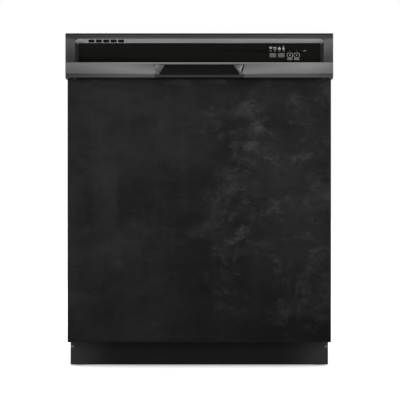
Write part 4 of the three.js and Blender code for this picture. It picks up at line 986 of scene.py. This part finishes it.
class DISHWASHER_OT_legs(bpy.types.Operator):
    """Builds the four levelling legs with their threads and feet"""

    bl_idname = "dishwasher.legs"
    bl_label = "Levelling Legs"

    def execute(self, context):
        sizes, colours = settings(context)
        pitch = mm(sizes.thread_pitch)
        for corner, _ in CORNERS:
            node = f"{corner}_leg"
            box = Box(node)
            x, y = box.middle.x, box.middle.y
            foot = [(0, 0), (14.5, 0), (16, 1.5), (16, 6), (13, 8), (7.5, 8), (7.5, 12), (0, 12)]
            rod = [(0, 11), (4.3, 11), (4.3, box.high.z - 1.2), (3.2, box.high.z), (0, box.high.z)]
            turns = int((box.high.z - 16) / pitch)
            thread = coil((x, y, 13), UP, 4.25, 1.4, pitch, turns)
            parts = [turned(foot, (x, y, 0), steps=32), turned(rod, (x, y, 0), steps=20), thread]
            new_piece(
                f"{corner}_levelling_leg", joined(*parts), "zinc_plate", colours, node, [node]
            )
        return {"FINISHED"}


class DISHWASHER_OT_toe_panel(bpy.types.Operator):
    """Builds the recessed toe panel and its two screws"""

    bl_idname = "dishwasher.toe_panel"
    bl_label = "Toe Panel"

    def execute(self, context):
        sizes, colours = settings(context)
        refined("toe_panel", "toe_plate", colours, mm(sizes.sheet_round))
        box = Box("toe_panel")
        points = [(way * (box.high.x - 5.5), box.low.y, box.high.z - 12) for _, way in SIDES]
        heads = screws(points, (0, -1, 0), mm(sizes.screw_head))
        new_piece("toe_screws", heads, "zinc_plate", colours, "cabinet")
        return {"FINISHED"}


class DISHWASHER_OT_balance_springs(bpy.types.Operator):
    """Builds the coil springs that balance the door, and the lines that pull them"""

    bl_idname = "dishwasher.balance_springs"
    bl_label = "Balance Springs"

    def execute(self, context):
        sizes, colours = settings(context)
        wire = mm(sizes.spring_wire)
        opened = next(j for j in frame["joints"] if j["name"] == "left_cord_pull")["range_m"][1]
        for side, _ in SIDES:
            spring = Box(f"{side}_door_spring")
            line = Box(f"{side}_spring_cord")
            x, z = spring.middle.x, spring.middle.z
            radius = spring.size.x / 2 - wire / 2
            pitch = wire * 1.35
            turns = int(spring.size.y / pitch)
            start = Vector((x, spring.low.y + wire / 2, z))
            helix = coil(start, (0, 1, 0), radius, wire, pitch, turns)
            body = new_piece(
                f"{side}_balance_spring", helix, "zinc_plate", colours, "cabinet",
                [f"{side}_door_spring"], parentless=True,
            )
            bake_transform(body)
            path = [(x, line.low.y + (line.size.y - 8) * k / 24, z) for k in range(25)]
            cord = new_piece(
                f"{side}_balance_line", sweep(path, 1.5, 10), "black_moulding", colours, "cabinet",
            )
            travel = mm(opened)
            keep = (line.size.y - 8 - travel) / (line.size.y - 8)
            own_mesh(cord)
            ferrule = [(0, 0), (2.6, 0), (3, 1), (3, 7), (2.2, 9), (1.2, 11), (0, 11)]
            at = (x, line.high.y - 9, z)
            node = f"{side}_spring_cord"
            new_piece(
                f"{side}_line_ferrule", turned(ferrule, at, (0, 1, 0), 16), "zinc_plate", colours, node,
                [node],
            )
        return {"FINISHED"}


# ---------- Water works ----------
class DISHWASHER_OT_sump(bpy.types.Operator):
    """Builds the sump with its steel screen, the filter cup, pumps, impeller and inlet valve"""

    bl_idname = "dishwasher.sump"
    bl_label = "Sump and Pumps"

    def execute(self, context):
        sizes, colours = settings(context)
        round_off = mm(sizes.edge_round)
        cup = Box("filter_cup").middle
        centre = JOINT_AT["lower_arm_spin"]
        refined("sump", "sump_bowl", colours, round_off)
        screen = bmesh.new()
        cells = 26
        post_reach, screen_reach, cup_reach = 19, 76, 31
        bmesh.ops.create_grid(screen, x_segments=cells, y_segments=cells, size=80)
        bmesh.ops.translate(screen, vec=(centre.x, centre.y, 111.6), verts=screen.verts)
        spare = []
        for face in screen.faces:
            at = face.calc_center_median()
            from_post = (at - centre).xy.length
            if not post_reach < from_post < screen_reach or (at - cup).xy.length < cup_reach:
                spare.append(face)
        bmesh.ops.delete(screen, geom=spare, context="FACES")
        bmesh.ops.wireframe(screen, faces=screen.faces[:], thickness=1.0, use_replace=True, use_boundary=True)
        new_piece("sump_screen", screen, "liner_steel", colours, "cabinet")
        refined("filter_cup", "filter_basket", colours, round_off)
        refined("wash_impeller", "pump_impeller", colours, 0.3)
        motor = Box("wash_motor")
        fins = []
        for k in range(9):
            ring = [(30, 0), (34.2, 0.4), (34.2, 1.6), (30, 2)]
            at = (motor.high.x - 14 - 6.5 * k, motor.middle.y, motor.middle.z)
            fins.append(turned(ring, at, (1, 0, 0), 32))
        fins.append(block((146, motor.middle.y - 14, 101), (172, motor.middle.y + 14, 107), 1.0))
        refined("wash_motor", "pump_motor", colours, round_off, extra=fins)
        drain = Box("drain_pump")
        lugs = [(drain.low.x + 40, drain.middle.y - 30 + 12 * k, drain.high.z - 4) for k in range(2)]
        refined("drain_pump", "drain_pump_case", colours, round_off, extra=[screws(lugs, UP, 5)])
        valve = Box("inlet_valve")
        thread = coil((valve.low.x + 28, valve.high.y - 16, 37), (0, 1, 0), 7.8, 1.3, 2.2, 6)
        refined("inlet_valve", "water_valve", colours, 1.2, extra=[thread])
        return {"FINISHED"}


class DISHWASHER_OT_heater(bpy.types.Operator):
    """Builds the heating loop and its clips"""

    bl_idname = "dishwasher.heater"
    bl_label = "Heating Element"

    def execute(self, context):
        _, colours = settings(context)
        box = Box("heating_element")
        centre = JOINT_AT["lower_arm_spin"]
        level = box.high.z - 4
        loop = box.size.x / 2 - 4
        opening = math.radians(12)

        def at(angle, height=level):
            return Vector((loop * math.cos(angle), centre.y + loop * math.sin(angle), height))

        first, last = QUARTER + opening, QUARTER + TURN - opening
        inner = math.radians(5)
        arc = [at(first + inner + (last - first - 2 * inner) * k / 72) for k in range(73)]
        bend = rounded_path([at(first, box.low.z), at(first), at(first + inner)], 8, 5)
        end = rounded_path([at(last - inner), at(last), at(last, box.low.z)], 8, 5)
        element = sweep(bend[:-1] + arc + end[1:], 4, 14)
        kinds, node = "heater_nickel", "heating_element"
        new_piece("heating_loop", element, kinds, colours, "cabinet", [node])
        clips = []
        for turn in (0.0, 2.35, 4.1):
            p = at(first + 0.6 + turn)
            clips.append(block((p.x - 5, p.y - 5, 112), (p.x + 5, p.y + 5, 119.6), 1.5))
        new_piece("heater_clips", joined(*clips), "grey_moulding", colours, "cabinet")
        return {"FINISHED"}


class DISHWASHER_OT_spray_works(bpy.types.Operator):
    """Builds the spray arms with their jets, the feed tube, its manifold and the overfill float"""

    bl_idname = "dishwasher.spray_works"
    bl_label = "Spray Works"

    def execute(self, context):
        sizes, colours = settings(context)
        nozzle = [(0, 0.3), (1.3, 0.3), (1.5, 1.9), (2.6, 1.7), (4.4, -0.4), (0, -0.4)]
        for node, blade_top, reach, name in (
            ("lower_spray_arm", 146.3, (52, 84, 116, 148, 176, 202), "lower_arm"),
            ("upper_spray_arm", 421.0, (48, 78, 108, 138, 166, 190), "upper_arm"),
        ):
            box = Box(node)
            jets = []
            for k, x in enumerate(reach):
                for way in (-1, 1):
                    offset = (5.5 if k % 2 else -5.5) * way
                    jets.append(turned(nozzle, (way * x, box.middle.y + offset, blade_top), steps=16))
            y, tip = box.middle.y, box.high.x - 16
            rib = block((-tip, y - 0.9, blade_top - 1), (tip, y + 0.9, blade_top + 0.7), 0.3)
            refined(node, name, colours, 2.2, extra=[*jets, rib])
        tube = Box("spray_feed_tube")
        start, rear = tube.low.y, tube.high.y - 8
        low, high = tube.low.z + 8, tube.high.z - 8
        ahead = 255.0
        path = rounded_path([(0, start, low), (0, rear, low), (0, rear, high), (0, ahead, high)], 14, 8)
        pipe = sweep(path, 8, 20)
        collar = [(7.6, 0), (9.4, 0), (9.4, 5), (7.6, 5)]
        collars = [turned(collar, (0, rear, z), steps=24) for z in (170, 290, 400)]
        clips = [block((-13, rear + 5, z), (13, 287.6, z + 8), 1.0) for z in (200, 340)]
        kinds, slot = "grey_moulding", SLOT_OF["spray_feed_tube"]
        parts = joined(pipe, *collars, *clips)
        new_piece("feed_tube", parts, kinds, colours, "cabinet", ["spray_feed_tube"])
        refined("upper_manifold", "arm_manifold", colours, 1.0)
        refined("overfill_float", "float_dome", colours, mm(sizes.edge_round) * 2)
        return {"FINISHED"}


# ---------- Racks ----------
WIRE_BEND = 12.0
RIM_BEND = 18.0


def both_faces(profile, wide):
    """A wheel's profile from its bore to its tread, carried on over its other face."""
    return profile + [(across, wide - height) for across, height in reversed(profile)]


def u_wires(runs, radius):
    """Wires that run down one side, over the floor and up the other."""
    wires = bmesh.new()
    for corners in runs:
        add(wires, sweep(rounded_path(corners, WIRE_BEND, 5), radius, 8))
    return wires


def hoop(half, front, rear, height, radius):
    """A level wire hoop with rounded corners."""
    corners = [(-half, front, height), (half, front, height), (half, rear, height), (-half, rear, height)]
    return sweep(rounded_path(corners, RIM_BEND, 6, closed=True), radius, 10, closed=True)


def evenly(first, last, pitch):
    count = max(1, round((last - first) / pitch))
    return [first + (last - first) * k / count for k in range(count + 1)]


def tine(height, radius, lean=0.0):
    """One upright plate tine with a rounded tip."""
    profile = [(0, 0), (radius, 0), (radius, height - radius), (radius * 0.7, height - 0.3), (0, height)]
    bm = turned(profile, steps=8)
    bm.transform(Matrix.Rotation(lean, 4, "X"))
    return bm


def wire_basket(box, half, sizes, floor_pitch):
    """The floor, side and rim wires of a rack within a box."""
    wire, rim = mm(sizes.rack_wire) / 2, mm(sizes.rack_rim) / 2
    front, rear = box.low.y + rim, box.high.y - rim
    floor, top = box.low.z, box.high.z - rim
    side = half - rim
    inner = side - rim - wire
    across = evenly(front + 42, rear - 42, floor_pitch)
    along = evenly(42 - side, side - 42, floor_pitch)
    low, deck = floor + wire, floor + 3 * wire
    ahead, behind = front + (rim + wire), rear - (rim + wire)
    crosswise = [[(-inner, y, top), (-inner, y, low), (inner, y, low), (inner, y, top)] for y in across]
    lengthwise = [[(x, ahead, top), (x, ahead, deck), (x, behind, deck), (x, behind, top)] for x in along]
    parts = [
        u_wires(crosswise, wire),
        u_wires(lengthwise, wire),
        hoop(side, front, rear, top, rim),
        hoop(side, front, rear, (floor + top) / 2, wire * 1.15),
    ]
    return parts, across, along, deck


class DISHWASHER_OT_upper_rack(bpy.types.Operator):
    """Builds the upper rack, its cup tines, side rails and rollers"""

    bl_idname = "dishwasher.upper_rack"
    bl_label = "Upper Rack"

    def execute(self, context):
        sizes, colours = settings(context)
        box = Box("upper_rack")
        half = 248.0
        parts, across, along, deck = wire_basket(box, half, sizes, 30)
        places = [(x, y, deck) for y in across for x in (along[3], along[-4]) if abs(x) > 30]
        parts.append(add(bmesh.new(), tine(48, 1.5, 0.12), shifted(places)))
        rack, kind = joined(*parts), "rack_coating"
        new_piece("upper_rack_wires", rack, kind, colours, "upper_rack", ["upper_rack"])
        level = Box("left_rack_rail").middle.z
        clips = []
        for _, way in SIDES:
            for y in (-190, 21.5, 237):
                edges = sorted((way * (half - 6), way * 261.6))
                clips.append(block((edges[0], y - 8, level - 6), (edges[1], y + 8, level + 6), 1.5))
        new_piece("rail_clips", joined(*clips), "white_moulding", colours, "upper_rack")
        for side, _ in SIDES:
            refined(f"{side}_rack_rail", f"{side}_slide_rail", colours, mm(sizes.sheet_round), "liner_steel")
        for corner, _ in CORNERS:
            node = f"{corner}_roller"
            roller = Box(node)
            wide, r = roller.size.x, roller.size.z / 2
            profile = [(3.3, 0), (6, 0), (6.4, 1.2), (8, 1.2), (8.4, 0), (r - 1, 0), (r, 1)]
            at = (roller.low.x, roller.middle.y, roller.middle.z)
            wheel = turned(both_faces(profile, wide), at, (1, 0, 0), 32)
            new_piece(f"{corner}_rail_roller", wheel, "white_moulding", colours, node, [node])
        return {"FINISHED"}


class DISHWASHER_OT_lower_rack(bpy.types.Operator):
    """Builds the lower rack, its plate tines, wheel hangers and wheels"""

    bl_idname = "dishwasher.lower_rack"
    bl_label = "Lower Rack"

    def execute(self, context):
        sizes, colours = settings(context)
        box = Box("lower_rack")
        half = 250.0
        axle_z = Box("left_front_wheel").middle.z
        box.low.z = axle_z + 16.7
        parts, across, along, deck = wire_basket(box, half, sizes, 30)
        basket = Box("cutlery_basket")
        rows = [along[2], along[4], along[-5], along[-3]]
        places = [
            (x, y, deck)
            for y in across
            for x in rows
            if not (basket.low.x - 8 < x < basket.high.x + 8 and y < basket.high.y + 8)
        ]
        parts.append(add(bmesh.new(), tine(mm(sizes.tine_height), 1.6, 0.1), shifted(places)))
        for corner, way in CORNERS:
            wheel = Box(f"{corner}_wheel")
            y = wheel.middle.y
            inner = way * (half - 4)
            edges = sorted((inner, way * (half - 0.5)))
            parts.append(block((edges[0], y - 7, axle_z - 7), (edges[1], y + 7, box.low.z + 4), 1.2))
            axle = [(0, 0), (4, 0), (4, 18), (3.4, 18.6), (0, 18.6)]
            parts.append(turned(axle, (inner, y, axle_z), (way, 0, 0), 20))
        rack, kind = joined(*parts), "rack_coating"
        new_piece("lower_rack_wires", rack, kind, colours, "lower_rack", ["lower_rack"])
        for corner, _ in CORNERS:
            node = f"{corner}_wheel"
            wheel = Box(node)
            wide, r = wheel.size.x, wheel.size.z / 2
            profile = [(4.3, 0), (7, 0), (7.4, 3), (12.6, 3), (13, 0.6), (r - 1.4, 0), (r, 1.4)]
            at = Vector((wheel.low.x, wheel.middle.y, wheel.middle.z))
            spokes = []
            for k in range(6):
                spoke = block((1.2, -1, 6.6), (wide - 1.2, 1, 13.2), 0.3)
                spoke.transform(Matrix.Translation(at) @ Matrix.Rotation(TURN * k / 6, 4, "X"))
                spokes.append(spoke)
            tyre = joined(turned(both_faces(profile, wide), at, (1, 0, 0), 36), *spokes)
            new_piece(f"{corner}_rack_wheel", tyre, "grey_moulding", colours, node, [node])
        return {"FINISHED"}


class DISHWASHER_OT_cutlery_basket(bpy.types.Operator):
    """Builds the lattice cutlery basket with its cells and handle"""

    bl_idname = "dishwasher.cutlery_basket"
    bl_label = "Cutlery Basket"

    def execute(self, context):
        sizes, colours = settings(context)
        box = Box("cutlery_basket")
        half, height, wall = 118, 125, 3.0
        top = box.low.z + height
        bar_half = 1.2
        low = box.low + Vector((bar_half,) * 3)
        high = Vector((box.high.x, box.high.y, top)) - Vector((bar_half,) * 3)
        walls = block(low, high)
        bmesh.ops.delete(walls, geom=[f for f in walls.faces if f.normal.z > 0.5], context="FACES")
        cell = mm(sizes.lattice_cell)
        for axis in range(3):
            cut_across(walls, axis, evenly(low[axis], high[axis], cell)[1:-1])
        bmesh.ops.wireframe(
            walls, faces=walls.faces[:], thickness=2 * bar_half, use_replace=True, use_boundary=True,
            use_even_offset=True,
        )
        parts = [walls]
        size = (2 * half - wall) / 3
        middle = (low.y + high.y) / 2
        for way in (-1, 1):
            x = way * (half - wall - size)
            parts.append(block((x - 1.2, low.y, low.z), (x + 1.2, high.y, top - 6), 0.6))
            parts.append(block((x - 1.5, middle - 6, top - 22), (x + 1.5, middle + 6, box.high.z - 1), 1.2))
        reach = half - wall - size + 1.5
        parts.append(block((-reach, middle - 6, box.high.z - 8), (reach, middle + 6, box.high.z), 2.6, 3))
        rim = bmesh.new()
        for x0, x1, y0, y1 in (
            (box.low.x, box.high.x, box.low.y, box.low.y + wall),
            (box.low.x, box.high.x, box.high.y - wall, box.high.y),
            (box.low.x, box.low.x + wall, box.low.y, box.high.y),
            (box.high.x - wall, box.high.x, box.low.y, box.high.y),
        ):
            add(rim, block((x0, y0, top - 7), (x1, y1, top), 0.9))
            add(rim, block((x0, y0, box.low.z), (x1, y1, box.low.z + 5), 0.9))
        parts.append(rim)
        kinds, slot = "grey_moulding", SLOT_OF["cutlery_basket"]
        nodes = ["cutlery_basket"]
        new_piece("cutlery_lattice", joined(*parts), kinds, colours, "lower_rack", nodes)
        return {"FINISHED"}


# ---------- Stage ----------
def softbox(name, at, towards, size, power):
    light = bpy.data.lights.new(name, "AREA")
    light.shape = "RECTANGLE"
    light.size, light.size_y = size
    light.energy = power
    lamp = bpy.data.objects.new(name, light)
    lamp.location = at
    lamp.visible_glossy = False
    lamp.rotation_euler = (Vector(towards) - Vector(at)).to_track_quat("-Z", "Y").to_euler()
    bpy.context.scene.collection.objects.link(lamp)


class DISHWASHER_OT_stage(bpy.types.Operator):
    """Sets the pale floor, the studio light and the camera square to the door"""

    bl_idname = "dishwasher.stage"
    bl_label = "Stage"

    def execute(self, context):
        sizes, _ = settings(context)
        scene = context.scene
        low, high = CAD_BOX
        floor = bpy.data.meshes.new("floor")
        bm = bmesh.new()
        bmesh.ops.create_grid(bm, x_segments=8, y_segments=8, size=30)
        bm.to_mesh(floor)
        bm.free()
        pale = Paint("pale_floor", Roughness=0.9, Specular_IOR_Level=0.1, Emission_Strength=0.4)
        pale.coat(Emission_Color=(1, 1, 1, 1))
        clouds = pale.noise(0.5, 2.0)
        floor.materials.append(pale.coat(Base_Color=pale.tint(clouds, (0.93,) * 3, (0.95,) * 3)))
        ground = bpy.data.objects.new("floor", floor)
        ground.location.z = low.z - 0.0005
        ground.visible_glossy = False
        scene.collection.objects.link(ground)

        world = bpy.data.worlds.new("studio")
        scene.world = world
        world.use_nodes = True
        sky = Bench(world.node_tree)
        way = sky.node("TexCoord", output="Generated")
        y = sky.node("SeparateXYZ", None, {0: way}, output="Y")
        z = sky.node("SeparateXYZ", None, {0: way}, output="Z")
        front = (-1 * y).between(0.55, 0.97)
        above = z.between(-0.12, 0.0)
        overhead = z.between(0.25, 0.95)
        level = (1.0 - front * 0.7) * (1.0 - overhead * 0.35) * (above * 0.83 + 0.17)
        seen = sky.node("LightPath", output="Is Camera Ray")
        shown = level + seen * (1.0 - level)
        surface = world.node_tree.nodes["Background"]
        sky.feed(surface.inputs["Strength"], shown)
        surface.inputs["Color"].default_value = (1, 1, 1, 1)

        target = (0, low.y, high.z * 0.5)
        softbox("left_softbox", (-2.4, -2.6, 2.3), target, (1.6, 2.2), 46)
        softbox("right_softbox", (2.6, -2.4, 2.1), target, (1.6, 2.2), 40)
        softbox("rear_softbox", (0.6, 2.8, 2.6), target, (2.4, 1.6), 40)

        camera = bpy.data.objects.new("camera", bpy.data.cameras.new("camera"))
        distance = sizes.camera_distance
        sensor, setback, view_width = 36.0, 0.002, 0.905
        camera.data.sensor_width = sensor
        camera.data.lens = sensor * (distance + setback) / view_width
        camera.location = (0.0016, low.y - distance, 0.381)
        camera.rotation_euler = (QUARTER, 0, 0)
        scene.collection.objects.link(camera)
        scene.camera = camera
        scene.view_settings.view_transform = "Standard"
        return {"FINISHED"}


class DISHWASHER_PT_panel(bpy.types.Panel):
    """Lists the parts, their sizes and their colours"""

    bl_idname = "DISHWASHER_PT_panel"
    bl_label = "Dishwasher"
    bl_space_type = "VIEW_3D"
    bl_region_type = "UI"
    bl_category = "Dishwasher"

    def draw(self, context):
        for heading, group in (("Sizes", "dishwasher_sizes"), ("Colours", "dishwasher_colours")):
            box = self.layout.box()
            box.label(text=heading)
            held = getattr(context.scene, group)
            for key in held.__annotations__:
                box.prop(held, key)
        for operator in OPERATORS:
            self.layout.operator(operator.bl_idname)


GROUPS = (DishwasherSizes, DishwasherColours)
OPERATORS = (
    DISHWASHER_OT_stage,
    DISHWASHER_OT_control_housing,
    DISHWASHER_OT_control_panel,
    DISHWASHER_OT_keys,
    DISHWASHER_OT_handle,
    DISHWASHER_OT_door,
    DISHWASHER_OT_latch,
    DISHWASHER_OT_dispenser,
    DISHWASHER_OT_tub,
    DISHWASHER_OT_blanket,
    DISHWASHER_OT_frame,
    DISHWASHER_OT_legs,
    DISHWASHER_OT_toe_panel,
    DISHWASHER_OT_balance_springs,
    DISHWASHER_OT_sump,
    DISHWASHER_OT_heater,
    DISHWASHER_OT_spray_works,
    DISHWASHER_OT_upper_rack,
    DISHWASHER_OT_lower_rack,
    DISHWASHER_OT_cutlery_basket,
)
CLASSES = (*GROUPS, *OPERATORS, DISHWASHER_PT_panel)


def register():
    for made in CLASSES:
        bpy.utils.register_class(made)
    bpy.types.Scene.dishwasher_sizes = bpy.props.PointerProperty(type=DishwasherSizes)
    bpy.types.Scene.dishwasher_colours = bpy.props.PointerProperty(type=DishwasherColours)


def unregister():
    del bpy.types.Scene.dishwasher_colours
    del bpy.types.Scene.dishwasher_sizes
    for made in reversed(CLASSES):
        bpy.utils.unregister_class(made)


def main():
    register()
    for operator in OPERATORS:
        family, name = operator.bl_idname.split(".")
        getattr(getattr(bpy.ops, family), name)()


if __name__ == "__main__":
    main()
